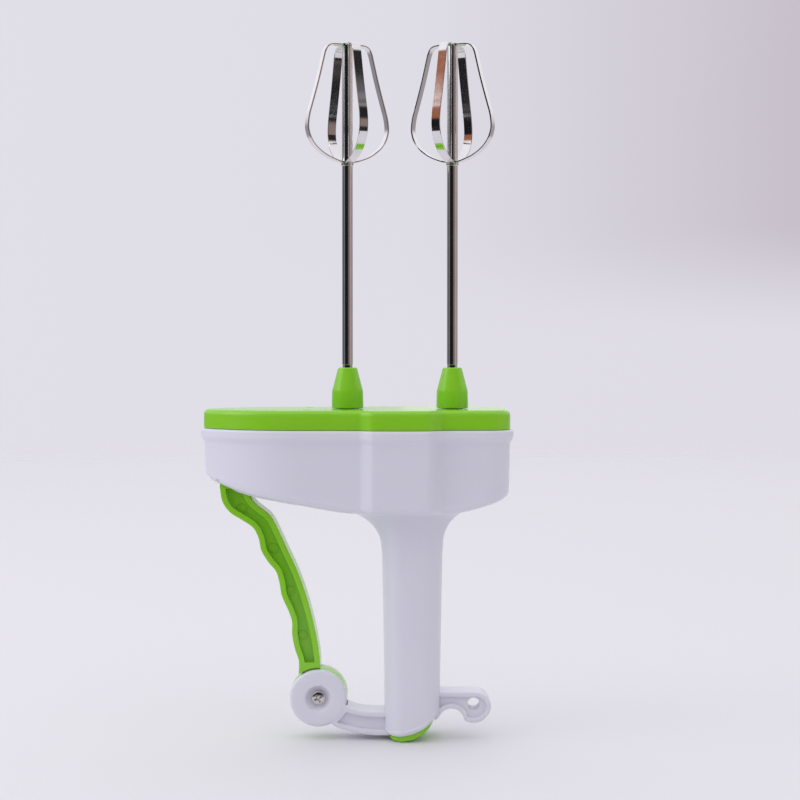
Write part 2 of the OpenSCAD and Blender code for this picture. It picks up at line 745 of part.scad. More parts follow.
housing();
cover();
end_cap();
gear_plate();
gear_plate_screws();
cover_screws();
pivot_screw();
gear_axle(1);  // gear_axle_left
gear_axle(-1);  // gear_axle_right
spindle_bush(1);  // spindle_bush_left
spindle_bush(-1);  // spindle_bush_right
return_spring();
lever();
lever_pin();
rack();
drive_gear(1);  // drive_gear_left
drive_gear(-1);  // drive_gear_right
spindle(1);  // spindle_left
spindle_gear(1);  // spindle_gear_left
chuck(1);  // chuck_left
spindle(-1);  // spindle_right
spindle_gear(-1);  // spindle_gear_right
chuck(-1);  // chuck_right
beater_shaft(1);  // beater_shaft_left
blade(1, 0);  // blade_a_left
blade(1, 1);  // blade_b_left
blade_foot(1);  // blade_foot_left
blade_cap(1);  // blade_cap_left
beater_shaft(-1);  // beater_shaft_right
blade(-1, 0);  // blade_a_right
blade(-1, 1);  // blade_b_right
blade_foot(-1);  // blade_foot_right
blade_cap(-1);  // blade_cap_right
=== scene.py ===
"""Looks of the hand-squeeze egg beater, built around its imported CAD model.

Shapes are drawn in millimetres in the part's own frame and become metres when a mesh is made.
The moulded parts are lofts of one outline at several insets, so that every edge is rounded.
"""

import math

import bmesh
import bpy
import numpy as np
from mathutils import Matrix, Vector


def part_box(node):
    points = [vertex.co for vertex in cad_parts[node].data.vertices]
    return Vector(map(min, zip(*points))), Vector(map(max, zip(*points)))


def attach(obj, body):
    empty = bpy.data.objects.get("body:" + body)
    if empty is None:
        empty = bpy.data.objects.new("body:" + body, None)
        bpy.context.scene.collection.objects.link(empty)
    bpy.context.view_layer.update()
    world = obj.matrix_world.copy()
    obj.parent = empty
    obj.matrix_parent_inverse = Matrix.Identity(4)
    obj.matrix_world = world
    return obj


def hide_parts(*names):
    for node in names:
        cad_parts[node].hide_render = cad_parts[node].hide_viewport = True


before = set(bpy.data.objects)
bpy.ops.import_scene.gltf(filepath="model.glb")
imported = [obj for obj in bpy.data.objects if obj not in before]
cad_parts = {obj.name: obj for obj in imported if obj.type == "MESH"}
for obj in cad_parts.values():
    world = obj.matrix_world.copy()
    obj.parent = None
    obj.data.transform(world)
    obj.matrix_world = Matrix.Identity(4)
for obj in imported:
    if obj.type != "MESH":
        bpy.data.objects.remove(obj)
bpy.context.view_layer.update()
MM = 0.001


def low(node):
    return [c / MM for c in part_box(node)[0]]


def high(node):
    return [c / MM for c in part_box(node)[1]]


def middle(node):
    return [(a + b) / 2 for a, b in zip(low(node), high(node))]


# ---- places, from the frame ----
RIM = high("housing")[2]
COVER_TOP = high("cover")[2]
COVER_H = COVER_TOP - RIM
NOSE_X = low("housing")[0]
END_X = high("housing")[0]
MIDDLE_HALF = high("housing")[1]
FLOOR_Z = low("end_cap")[2]
SHAFT_X = {"left": middle("beater_shaft_left")[0], "right": middle("beater_shaft_right")[0]}
SHAFT_TOP = high("beater_shaft_left")[2]
SHANK_Z = low("beater_shaft_left")[2]
CHUCK_Z = high("spindle_bush_left")[2] + 0.3
PIVOT_X = middle("pivot_screw")[0]
PIVOT_Z = middle("pivot_screw")[2]
PIVOT = (PIVOT_X, 0, PIVOT_Z)
LEVER_HALF = high("lever")[1]
PIN_X = middle("lever_pin")[0]
PIN_Z = middle("lever_pin")[2]

# ---- plan of the case ----
LEFT_HALF = 25
RIGHT_HALF = 22.8
NOSE_R = 5.86
BOW_X = -50.2
BOW_R = 55.37
BOW_Y = BOW_R - LEFT_HALF
END_CORNER = 13
STEP_LEFT = (-23.6, -16.9)
STEP_RIGHT = (6.2, 13.6)

# ---- walls ----
RIM_ROUND = 1.0
WALL_IN = 1.6
WALL_FOOT = 2.0
COVER_IN = 1.4
COVER_ROUND = 2.6
SKIRT_DROP = 2.0
CAVITY_IN = 4.0
FLOOR_T = 2.2
UNDERSIDE = [(-97, -21.2), (-90.5, -23.4), (-87.5, -24.4), (-73, -28.5), (-55, -31.9), (-40, -34.8),
             (-28, -36.5), (-10, -36.9), (5, -36.9), (17, -36.9), (24, -35.9), (31, -33.9), (37, -31.8),
             (41, -30.3), (45, -28.6)]
FILLET = [(-96, 4.4), (-80, 4.2), (28, 4.2), (38, 2.8), (45, 2.6)]
SLOT = (-86.9, -41.6)
SLOT_HALF = 6.75
SLOT_LIP = [(-88, -1), (-85, -1), (-78, 0.9), (-70, 1.4), (-55, 1.6), (-47, 1.2), (-40, 0.2)]

# ---- handle, arm and lug ----
GRIP_W = 27.7
GRIP_D = 28
GRIP_TAPER = 1.05 / 81
GRIP_CORNER = 9
FLARE = {"left": (20, 16.5), "right": (14, 14.5), "side": (5, 12)}
HEEL_X = -7.35
HEEL_Z = RIM - 113.1
HEEL_R = 23.9
PLUG_W = 20.2
PLUG_D = 22.4
PLUG_R = 6
CAP_X = -5.1
CAP_Z = RIM - 123.1
CAP_R = 16.4
ARM_HALF = 7.5
CHEEK_IN = 4.75
DISC_R = 12.8
BOSS_R = 6.4
BOSS_IN = 3.2
WEB_HALF = 5.2
LUG_X = 27.6
LUG_Z = RIM - 123.7
LUG_HALF = 6.5
LUG_HOLE_R = 2.8
LUG_WEB = 4.6
RECESS_DEPTH = 2.7
SCREW_X = -47
SCREW_Y = 13.5
FAR = 20  # cutters reach this far, past any wall

# ---- lever ----
HUB_HALF = 4.6
HUB_WAIST = 3.05
LEVER_WEB = 2.6
BORDER = 2.6

# ---- beaters ----
TUBE_R = 2.45
CAGE_H = 53
BLADE_W = 4
BLADE_T = 0.7
BLADE_TURN = 24
CAGE_Z = SHAFT_TOP - CAGE_H


# ---------------------------------------------------------------- curves
def arc(cx, cy, r, a0, a1, n=8):
    angles = [math.radians(a0 + (a1 - a0) * i / n) for i in range(n + 1)]
    return [(cx + r * math.cos(a), cy + r * math.sin(a)) for a in angles]


def spline(points, n=5):
    """A smooth curve through the points, n steps to each span."""
    p = [np.array(q, float) for q in points]
    out = []
    for i in range(len(p) - 1):
        a, b, c, d = p[max(i - 1, 0)], p[i], p[i + 1], p[min(i + 2, len(p) - 1)]
        for j in range(n):
            t = j / n
            out.append(0.5 * (2 * b + (c - a) * t + (2 * a - 5 * b + 4 * c - d) * t * t
                              + (3 * b - a - 3 * c + d) * t ** 3))
    return [tuple(q) for q in out] + [tuple(p[-1])]


def lifted(points):
    """Points in X and Z, given from the rim, in the part's frame."""
    return [(x, z + RIM) for x, z in points]


def left_normals(points, closed=True):
    """Unit normals to the left of the direction of travel."""
    p = np.array(points, float)
    if closed:
        before, after = np.roll(p, 1, 0), np.roll(p, -1, 0)
    else:
        before, after = np.vstack([p[:1], p[:-1]]), np.vstack([p[1:], p[-1:]])

    def side(v):
        n = np.stack([-v[:, 1], v[:, 0]], 1)
        return n / np.maximum(np.linalg.norm(n, axis=1, keepdims=True), 1e-9)

    a, b = side(p - before), side(after - p)
    if not closed:
        a[0], b[-1] = b[0], a[-1]
    n = a + b
    n /= np.maximum(np.linalg.norm(n, axis=1, keepdims=True), 1e-9)
    stretch = 1 / np.clip((n * a).sum(1), 0.6, 1)
    return n, stretch


def room(points, normals):
    """How far each point can move along its normal before it meets another one's path."""
    p = np.array(points, float)
    d = p[None] - p[:, None]
    along = (d * normals[:, None]).sum(2)
    square = (d * d).sum(2)
    with np.errstate(divide="ignore", invalid="ignore"):
        r = np.where(along > 1e-6, square / (2 * along), 1e9)
    np.fill_diagonal(r, 1e9)
    return r.min(1)


def offset(points, d, closed=True):
    """The outline moved d to the left of its direction (to the right if negative), point for point."""
    n, stretch = left_normals(points, closed)
    if np.min(d) < 0:
        n = -n
    reach = np.minimum(np.abs(d) * stretch, 0.94 * room(points, n))
    return [tuple(q) for q in np.array(points, float) + n * reach[:, None]]


def anticlockwise(points):
    p = np.array(points, float)
    x, y = p[:, 0], p[:, 1]
    area = (x * np.roll(y, -1) - np.roll(x, -1) * y).sum()
    return list(points) if area > 0 else list(points)[::-1]


def rounded(points, r, sharp=25):
    """Rounds each corner sharper than the angle; the rest of the outline stays."""
    out = []
    count = len(points)
    for i in range(count):
        a, b, c = (np.array(points[k % count], float) for k in (i - 1, i, i + 1))
        u, v = a - b, c - b
        lu, lv = np.linalg.norm(u), np.linalg.norm(v)
        turn = 180 - math.degrees(math.acos(max(-1, min(1, u @ v / (lu * lv)))))
        if turn < sharp:
            out.append(tuple(b))
            continue
        back = min(r * math.tan(math.radians(turn / 2)), 0.49 * lu, 0.49 * lv)
        s, e = b + u / lu * back, b + v / lv * back
        for t in np.linspace(0, 1, 5):
            out.append(tuple((1 - t) ** 2 * s + 2 * t * (1 - t) * b + t * t * e))
    return out


def rounded_square(half_w, half_d, r, n=6):
    """Anticlockwise from the middle of the -X side, so that its upper half can be mirrored."""
    out = [(-half_w, 0)]
    out += arc(-half_w + r, half_d - r, r, 180, 90, n)
    out += [(0, half_d)]
    out += arc(half_w - r, half_d - r, r, 90, 0, n)
    return out + [(half_w, 0)]


# ---------------------------------------------------------------- meshes
def mesh_object(name, verts, faces):
    """Makes a closed mesh from millimetre points."""
    bm = bmesh.new()
    made = [bm.verts.new(Vector(v) * MM) for v in verts]
    for f in faces:
        bm.faces.new([made[i] for i in f])
    bmesh.ops.remove_doubles(bm, verts=bm.verts, dist=1e-6)
    bmesh.ops.recalc_face_normals(bm, faces=bm.faces)
    mesh = bpy.data.meshes.new(name)
    bm.to_mesh(mesh)
    bm.free()
    obj = bpy.data.objects.new(name, mesh)
    bpy.context.scene.collection.objects.link(obj)
    return obj


def loft(name, rings):
    """Closed solid through rings of equal length, with flat ends."""
    n = len(rings[0])
    verts = [p for ring in rings for p in ring]
    faces = [list(range(n))[::-1], [len(verts) - n + i for i in range(n)]]
    for k in range(len(rings) - 1):
        for i in range(n):
            j = (i + 1) % n
            faces.append([k * n + i, k * n + j, (k + 1) * n + j, (k + 1) * n + i])
    return mesh_object(name, verts, faces)


def mirrored_loft(name, halves):
    """Closed solid through rings given by their +Y halves, which start and end on Y = 0.
    Its two ends are ruled across Y, so they can follow a curve in X."""
    n = len(halves[0])
    ring = 2 * n - 2
    verts, faces = [], []
    for half in halves:
        verts += half + [(x, -y, z) for x, y, z in half[-2:0:-1]]
    for k in range(len(halves) - 1):
        for i in range(ring):
            j = (i + 1) % ring
            faces.append([k * ring + i, k * ring + j, (k + 1) * ring + j, (k + 1) * ring + i])
    for start in (0, (len(halves) - 1) * ring):
        for i in range(n - 1):
            a, b = start + i, start + i + 1
            c, d = start + (ring - i - 1) % ring, start + (ring - i) % ring
            face = [a, b, c, d]
            faces.append([v for k, v in enumerate(face) if v not in face[:k]])
    return mesh_object(name, verts, faces)


def plate(name, outline, levels):
    """Solid across Y from an outline in X and Z; levels are (y, distance outside the outline)."""
    outline = anticlockwise(outline)
    rings = []
    for y, out in levels:
        ring = offset(outline, -out) if out else outline
        rings.append([(x, y, z) for x, z in ring])
    return loft(name, rings)


def quarter(n):
    """Cosines and sines of a quarter turn in n steps."""
    angles = [math.radians(90 * k / n) for k in range(n + 1)]
    return [(math.cos(a), math.sin(a)) for a in angles]


def slab_levels(half, r, y=0):
    """Levels of a plate with rounded edges."""
    near = [(half - r + r * c, -r + r * s) for c, s in quarter(3)]
    return [(y - h, o) for h, o in near] + [(y + h, o) for h, o in near[::-1]]


def pocket_levels(bottom, top, r, side, foot=0.3):
    """Levels of a cutter that leaves a rounded foot and a rounded lip. side is the sign of Y."""
    levels = [(bottom, -foot), (bottom + foot * 0.35, -foot * 0.35), (bottom + foot, 0)]
    levels += [(top - r + r * s, r - r * c) for c, s in quarter(3)]
    levels.append((top + 1, r))
    return [(side * y, o) for y, o in levels]


def lathe(name, profile, segments=64, at=(0, 0, 0), axis="Z"):
    """Solid of revolution; the profile is (radius, height) from the axis to the axis."""
    verts, faces = [], []
    ring_of = []
    for r, h in profile:
        if r < 1e-6:
            ring_of.append([len(verts)])
            verts.append((0, 0, h))
        else:
            ring_of.append(list(range(len(verts), len(verts) + segments)))
            for i in range(segments):
                a = 2 * math.pi * i / segments
                verts.append((r * math.cos(a), r * math.sin(a), h))
    for a, b in zip(ring_of, ring_of[1:]):
        for i in range(segments):
            j = (i + 1) % segments
            face = [a[i % len(a)], a[j % len(a)], b[j % len(b)], b[i % len(b)]]
            face = [v for k, v in enumerate(face) if v not in face[:k]]
            if len(face) > 2:
                faces.append(face)
    if axis == "Y":
        verts = [(x, -z, y) for x, y, z in verts]
    return mesh_object(name, [tuple(np.add(v, at)) for v in verts], faces)


def place(obj, at, turn=0, axis="Z"):
    """Turns a shape about an axis through the origin, then moves it to its place."""
    obj.data.transform(Matrix.Translation(Vector(at) * MM) @ Matrix.Rotation(math.radians(turn), 4, axis))
    return obj


def combine(target, tools, operation="DIFFERENCE"):
    """Applies exact solid operations and removes the tools."""
    for tool in tools:
        modifier = target.modifiers.new(operation.lower(), "BOOLEAN")
        modifier.operation = operation
        modifier.solver = "MANIFOLD"
        modifier.object = tool
        graph = bpy.context.evaluated_depsgraph_get()
        made = bpy.data.meshes.new_from_object(target.evaluated_get(graph))
        target.modifiers.clear()
        target.data = made
        bpy.data.objects.remove(tool)
    return target


def clean(obj, distance=0.004):
    """Joins points that a solid operation left almost on top of each other."""
    bm = bmesh.new()
    bm.from_mesh(obj.data)
    bmesh.ops.remove_doubles(bm, verts=bm.verts, dist=distance * MM)
    bmesh.ops.dissolve_degenerate(bm, edges=bm.edges, dist=distance * MM)
    bmesh.ops.recalc_face_normals(bm, faces=bm.faces)
    bm.to_mesh(obj.data)
    bm.free()


def shade(obj, angle=28, even=True):
    """Smooth shading with crisp edges above the angle; if even, big flat faces stay flat."""
    mesh = obj.data
    mesh.polygons.foreach_set("use_smooth", [True] * len(mesh.polygons))
    mesh.set_sharp_from_angle(angle=math.radians(angle))
    if not even:
        return
    modifier = obj.modifiers.new("even_normals", "WEIGHTED_NORMAL")
    modifier.weight = 60
    modifier.keep_sharp = True


def finish_piece(obj, name, body, material, replaced, angle=28, even=True):
    """Names, shades and dresses a piece, ties it to its body, and hides the CAD nodes it replaces."""
    obj.name = name
    obj.data.name = name
    obj.data.materials.clear()
    obj.data.materials.append(material)
    shade(obj, angle, even)
    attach(obj, body)
    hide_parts(*replaced)


# ---------------------------------------------------------------- materials
def new_material(name):
    material = bpy.data.materials.new(name)
    material.use_nodes = True
    tree = material.node_tree
    shader = tree.nodes["Principled BSDF"]
    return material, tree, shader


def noise(tree, scale, detail=3, rough=0.5, coordinates=None):
    node = tree.nodes.new("ShaderNodeTexNoise")
    node.inputs["Scale"].default_value = scale
    node.inputs["Detail"].default_value = detail
    node.inputs["Roughness"].default_value = rough
    if coordinates is None:
        coordinates = tree.nodes.new("ShaderNodeTexCoord").outputs["Object"]
    tree.links.new(coordinates, node.inputs["Vector"])
    return node.outputs["Fac"]


def remap(tree, value, low_out, high_out):
    """Stretches a noise's usual range to the given one."""
    node = tree.nodes.new("ShaderNodeMapRange")
    node.inputs["From Min"].default_value = 0.3
    node.inputs["From Max"].default_value = 0.7
    node.inputs["To Min"].default_value = low_out
    node.inputs["To Max"].default_value = high_out
    tree.links.new(value, node.inputs["Value"])
    return node.outputs["Result"]


def mix_colour(tree, factor, a, b):
    node = tree.nodes.new("ShaderNodeMix")
    node.data_type = "RGBA"
    node.inputs["A"].default_value = (*a, 1)
    node.inputs["B"].default_value = (*b, 1)
    tree.links.new(factor, node.inputs["Factor"])
    return node.outputs["Result"]


def bump(tree, height, strength, distance_mm, normal=None):
    node = tree.nodes.new("ShaderNodeBump")
    node.inputs["Strength"].default_value = strength
    node.inputs["Distance"].default_value = distance_mm * MM
    tree.links.new(height, node.inputs["Height"])
    if normal is not None:
        tree.links.new(normal, node.inputs["Normal"])
    return node.outputs["Normal"]


def maths(tree, operation, a, b):
    node = tree.nodes.new("ShaderNodeMath")
    node.operation = operation
    for socket, value in zip(node.inputs, (a, b)):
        if isinstance(value, (int, float)):
            socket.default_value = value
        else:
            tree.links.new(value, socket)
    return node.outputs[0]


def moulded_plastic(name, colour, deeper, roughness, glow):
    """Injection-moulded plastic: slow flow marks, faint orange peel and fine handling marks."""
    material, tree, shader = new_material(name)
    flow = noise(tree, 34, 2)
    grain = noise(tree, 900, 4, 0.6)
    peel = noise(tree, 420, 2, 0.45)
    marks = noise(tree, 1500, 2)
    tree.links.new(mix_colour(tree, remap(tree, flow, 0, 1), colour, deeper), shader.inputs["Base Color"])
    spread = maths(tree, "ADD", remap(tree, grain, roughness - 0.02, roughness + 0.02),
                   remap(tree, flow, -0.02, 0.03))
    tree.links.new(spread, shader.inputs["Roughness"])
    soft = bump(tree, peel, 0.007, 0.05)
    tree.links.new(bump(tree, marks, 0.006, 0.004, soft), shader.inputs["Normal"])
    shader.inputs["Subsurface Weight"].default_value = glow
    shader.inputs["Subsurface Radius"].default_value = (1.0, 0.9, 0.6)
    shader.inputs["Subsurface Scale"].default_value = 0.0025
    shader.inputs["IOR"].default_value = 1.49
    return material


def steel(name, roughness, tint=(0.80, 0.79, 0.79), scratch=0.05):
    """Polished or plain steel with fine drawn lines along Z and slight smudges."""
    material, tree, shader = new_material(name)
    mapping = tree.nodes.new("ShaderNodeMapping")
    mapping.inputs["Scale"].default_value = (1, 1, 0.05)
    coordinates = tree.nodes.new("ShaderNodeTexCoord").outputs["Object"]
    tree.links.new(coordinates, mapping.inputs["Vector"])
    lines = noise(tree, 3000, 3, 0.6, mapping.outputs["Vector"])
    smudge = noise(tree, 120, 3)
    deeper = tuple(c * 0.9 for c in tint)
    tree.links.new(mix_colour(tree, remap(tree, smudge, 0, 1), tint, deeper), shader.inputs["Base Color"])
    spread = maths(tree, "ADD", remap(tree, lines, -0.4 * roughness, 0.5 * roughness),
                   remap(tree, smudge, roughness, roughness * 1.5))
    tree.links.new(spread, shader.inputs["Roughness"])
    tree.links.new(bump(tree, lines, scratch, 0.01), shader.inputs["Normal"])
    shader.inputs["Metallic"].default_value = 1
    return material


GREEN = moulded_plastic("green_plastic", (0.270, 0.645, 0.026), (0.255, 0.62, 0.022), 0.17, 0.1)
WHITE = moulded_plastic("white_plastic", (0.775, 0.765, 0.845), (0.765, 0.755, 0.835), 0.32, 0.1)
NYLON = moulded_plastic("nylon", (0.80, 0.77, 0.66), (0.77, 0.74, 0.62), 0.42, 0.25)
CHROME = steel("polished_steel", 0.07)
BRIGHT_SCREW = steel("screw_steel", 0.16, (0.72, 0.71, 0.70), 0.08)
PLAIN = steel("plain_steel", 0.27, (0.62, 0.62, 0.63), 0.12)


# ---------------------------------------------------------------- outlines
def smooth_step(x, x0, x1, y0, y1):
    t = min(1, max(0, (x - x0) / (x1 - x0)))
    return y0 + (y1 - y0) * t * t * (3 - 2 * t)


def case_half():
    """Rim of the case from its nose to its blunt end, on the +Y side."""
    tangent = 180 - math.degrees(math.atan2(BOW_Y, abs(NOSE_X + NOSE_R - BOW_X)))
    nose_x = BOW_X - math.sqrt((BOW_R - NOSE_R) ** 2 - BOW_Y ** 2)
    points = arc(nose_x, 0, NOSE_R, 180, tangent, 9)
    points += arc(BOW_X, -BOW_Y, BOW_R, tangent, 90, 26)[1:]
    points += [(x, LEFT_HALF) for x in np.linspace(BOW_X, STEP_LEFT[0], 7)[1:-1]]
    points += [(x, smooth_step(x, *STEP_LEFT, LEFT_HALF, MIDDLE_HALF))
               for x in np.linspace(*STEP_LEFT, 13)]
    points += [(x, MIDDLE_HALF) for x in np.linspace(STEP_LEFT[1], STEP_RIGHT[0], 9)[1:-1]]
    points += [(x, smooth_step(x, *STEP_RIGHT, MIDDLE_HALF, RIGHT_HALF))
               for x in np.linspace(*STEP_RIGHT, 15)]
    points += [(x, RIGHT_HALF) for x in np.linspace(STEP_RIGHT[1], END_X - END_CORNER, 6)[1:-1]]
    points += arc(END_X - END_CORNER, RIGHT_HALF - END_CORNER, END_CORNER, 90, 0, 16)
    points += [(END_X, y) for y in np.linspace(RIGHT_HALF - END_CORNER, 0, 5)[1:]]
    return points


CASE_HALF = case_half()
UNDER = np.array(spline(UNDERSIDE, 8))


def under_z(x):
    return RIM + float(np.interp(x, UNDER[:, 0], UNDER[:, 1]))


def half_inset(half, d):
    """Upper half of a mirrored outline, moved d inwards; d may differ from point to point."""
    ring = half + [(x, -y) for x, y in half[-2:0:-1]]
    if np.ndim(d):
        d = np.concatenate([d, d[-2:0:-1]])[::-1]
    moved = offset(ring[::-1], d)[::-1]
    out = moved[: len(half)]
    out[0] = (out[0][0], 0.0)
    out[-1] = (out[-1][0], 0.0)
    return out


def case_inset(d):
    """The case's half outline moved d inwards: along its stepped sides straight in Y, as a
    true inset would fold at the steps."""
    shifts = np.zeros(len(CASE_HALF)) + d
    straight = np.interp([x for x, _ in CASE_HALF], [-44, -32, 20, 30], [0, 1, 1, 0])
    return [(mx + (x - mx) * w, my + (y - shift - my) * w)
            for (mx, my), (x, y), w, shift in zip(half_inset(CASE_HALF, d), CASE_HALF, straight, shifts)]


def case_ring(d, z):
    return [(x, y, z) for x, y in case_inset(d)]


# ---------------------------------------------------------------- housing
def case_shell():
    """The gear case's walls: one loft down the outside and up the inside."""
    rings = []
    fillet = np.interp([x for x, _ in CASE_HALF], [f[0] for f in FILLET], [f[1] for f in FILLET])
    # Outside: fillet up from the underside, wall, ogee, bead and rim
    for c, s in quarter(7)[::-1]:
        points = case_inset(WALL_FOOT + fillet * (1 - c))
        rings.append([(x, y, under_z(x) + r * (1 - s)) for (x, y), r in zip(points, fillet)])
    rings.append([(x, y, under_z(x) + r + 0.7)
                  for (x, y), r in zip(case_inset(WALL_FOOT - 0.02), fillet)])
    for d, drop in ((WALL_IN + 0.02, 7.6), (WALL_IN, 6.7), (WALL_IN, 6.4), (1.56, 6.0), (1.3, 5.5),
                    (0.85, 4.8), (0.4, 4.1), (0.12, 3.5), (0, 2.9), (0, 2.5), (0, RIM_ROUND + 0.3),
                    (0, RIM_ROUND)):
        rings.append(case_ring(d, RIM - drop))
    for c, s in quarter(4)[1:]:
        rings.append(case_ring(RIM_ROUND * (1 - c), RIM - RIM_ROUND * (1 - s)))
    # Inside: step for the cover's skirt, wall and floor
    for d, drop in ((2.6, 0), (2.6, 2.2), (CAVITY_IN, 2.2)):
        rings.append(case_ring(d, RIM - drop))
    for d, rise in ((CAVITY_IN, 2.0), (CAVITY_IN + 0.6, 0.6), (CAVITY_IN + 2, 0)):
        rings.append([(x, y, under_z(x) + FLOOR_T + rise) for x, y in case_inset(d)])
    return mirrored_loft("housing", rings)


def grip_half(half_w, half_d):
    return rounded_square(half_w, half_d, GRIP_CORNER, 8)


def heel_z(x):
    return HEEL_Z - math.sqrt(max(1.0, HEEL_R ** 2 - (x - HEEL_X) ** 2))


def plug_hole():
    return rounded_square(PLUG_W / 2 + 0.15, PLUG_D / 2 + 0.15, PLUG_R, 8)


def handle():
    """Grip with a flared head, a curved heel with a rounded edge, and a hollow from the heel up."""
    def section(z, extra=0.0):
        cut = GRIP_TAPER * (RIM - 36 - z)
        return half_inset(grip_half(GRIP_W / 2 - cut * 1.35, GRIP_D / 2 - cut), -extra)

    base = grip_half(GRIP_W / 2, GRIP_D / 2)
    normals, _ = left_normals(base[::-1], False)
    normals = -normals[::-1]
    normals[0], normals[-1] = (-1, 0), (1, 0)
    flares = []
    for nx, _ in normals:
        out, drop = FLARE["left" if nx < 0 else "right"]
        side_out, side_drop = FLARE["side"]
        share = nx ** 4
        flares.append((side_out + (out - side_out) * share, side_drop + (drop - side_drop) * share))
    rings = [[(x + nx * f, y + ny * f, under_z(x + nx * f) + 1.3)
              for (x, y), (nx, ny), (f, _) in zip(base, normals, flares)]]
    steps = 12
    for k in range(steps + 1):
        a = math.radians(88 * (steps - k) / steps)
        ring = []
        for (x, y), (nx, ny), (f, g) in zip(base, normals, flares):
            out = f * (1 - math.cos(a))
            px, py = x + nx * out, y + ny * out
            ring.append((px, py, under_z(px) + 0.25 - g * (1 - math.sin(a))))
        rings.append(ring)
    for z in np.linspace(RIM - 56, HEEL_Z + 4, 8):
        rings.append([(x, y, z) for x, y in section(z)])
    edge, proud = 1.9, 0.22
    for out, rise in ((0, edge + 0.75), (proud, edge + 0.5)):
        rings.append([(x, y, heel_z(x) + rise) for x, y in section(-30, out)])
    for c, s in quarter(5):
        rings.append([(x, y, heel_z(x) + edge * (1 - s))
                      for x, y in section(-30, proud - edge * (1 - c))])
    hole = plug_hole()
    rings.append([(x, y, heel_z(x)) for x, y in hole])
    rings.append([(x, y, RIM - 42) for x, y in hole])
    return mirrored_loft("handle", rings)


def slot_lip():
    """Lip that deepens the case's underside around the lever's slot."""
    xs = np.linspace(SLOT[0] - 1, SLOT[1] + 1, 20)
    drop = np.interp(xs, [row[0] for row in SLOT_LIP], [row[1] for row in SLOT_LIP])
    outline = [(x, under_z(x) - d) for x, d in zip(xs, drop)]
    outline += [(x, under_z(x) + 1.5) for x in xs[::-1]]
    return plate("lip", rounded(outline, 0.8), slab_levels(SLOT_HALF + 1.1, 0.35))


ARM_TOP = [(-31, -123.4), (-26, -125.6), (-20, -126.7), (-10, -126.9)]
ARM_LOW = [(-10, -137.4), (-18, -137.3), (-26, -136), (-34, -133.6), (-40, -130)]
ARM_POCKET_TOP = [(-29.4, -127.0), (-26, -128.0), (-20, -129.0), (-9, -129.2)]
ARM_POCKET_LOW = [(-9, -135.0), (-18, -134.9), (-26, -133.7), (-33.6, -131.6)]


def cheek(side):
    """One of the two discs that hold the lever's hub, with its boss."""
    inner = lathe("boss", [(0, BOSS_IN), (BOSS_R - 0.3, BOSS_IN), (BOSS_R, BOSS_IN + 0.3),
                           (BOSS_R, CHEEK_IN + 1), (0, CHEEK_IN + 1)], 64)
    edge = 1.4
    profile = [(0, CHEEK_IN), (DISC_R - 0.4, CHEEK_IN), (DISC_R - 0.12, CHEEK_IN + 0.12),
               (DISC_R, CHEEK_IN + 0.4)]
    profile += [(DISC_R - edge + edge * c, ARM_HALF - edge + edge * s) for c, s in quarter(6)]
    disc = lathe("disc", profile + [(0, ARM_HALF)], 112)
    combine(disc, [inner], "UNION")
    return place(disc, PIVOT, -90 * side, "X")


def arm():
    """Curved arm with a pocket on each side, and the two discs of the lever's pivot."""
    outline = lifted(spline(ARM_TOP) + spline(ARM_LOW))
    body = plate("arm", outline, slab_levels(ARM_HALF - 0.15, 0.8))
    pocket = rounded(lifted(spline(ARM_POCKET_TOP) + spline(ARM_POCKET_LOW)), 0.8)
    cutters = [plate("pocket", pocket, pocket_levels(WEB_HALF, ARM_HALF - 0.15, 0.5, s)) for s in (-1, 1)]
    combine(body, cutters)
    gap = lathe("gap", [(0, -CHEEK_IN), (DISC_R + 0.6, -CHEEK_IN), (DISC_R + 0.6, CHEEK_IN), (0, CHEEK_IN)],
                96, PIVOT, "Y")
    outer = lathe("outer", [(0, -FAR), (DISC_R - 1.5, -FAR), (DISC_R - 1.5, FAR), (0, FAR)], 96, PIVOT, "Y")
    combine(body, [gap, outer])
    combine(body, [cheek(-1), cheek(1)], "UNION")
    recess = lathe("recess", [(0, -FAR), (6.4, -FAR), (6.4, -0.01), (6.0, 0.06), (5.6, 0.35), (5.2, 1.3),
                              (4.4, 2.25), (3.9, RECESS_DEPTH), (0, RECESS_DEPTH)], 72)
    place(recess, (PIVOT_X, -ARM_HALF, PIVOT_Z), -90, "X")
    shank = lathe("shank", [(0, -FAR), (2.65, -FAR), (2.65, 0), (1.5, 0.01), (1.5, 6.6), (0, 6.6)], 48)
    return combine(body, [recess, place(shank, PIVOT, -90, "X")])


def lug_outline():
    return lifted([(5, -118.1)] + arc(28.4, -125.1, 7, 90, 0, 14) + arc(27.4, -124, 8, -11, -118, 18)
                  + arc(17.6, -131.2, 5.7, 20, 140, 14) + [(11.5, -130), (5, -135)])


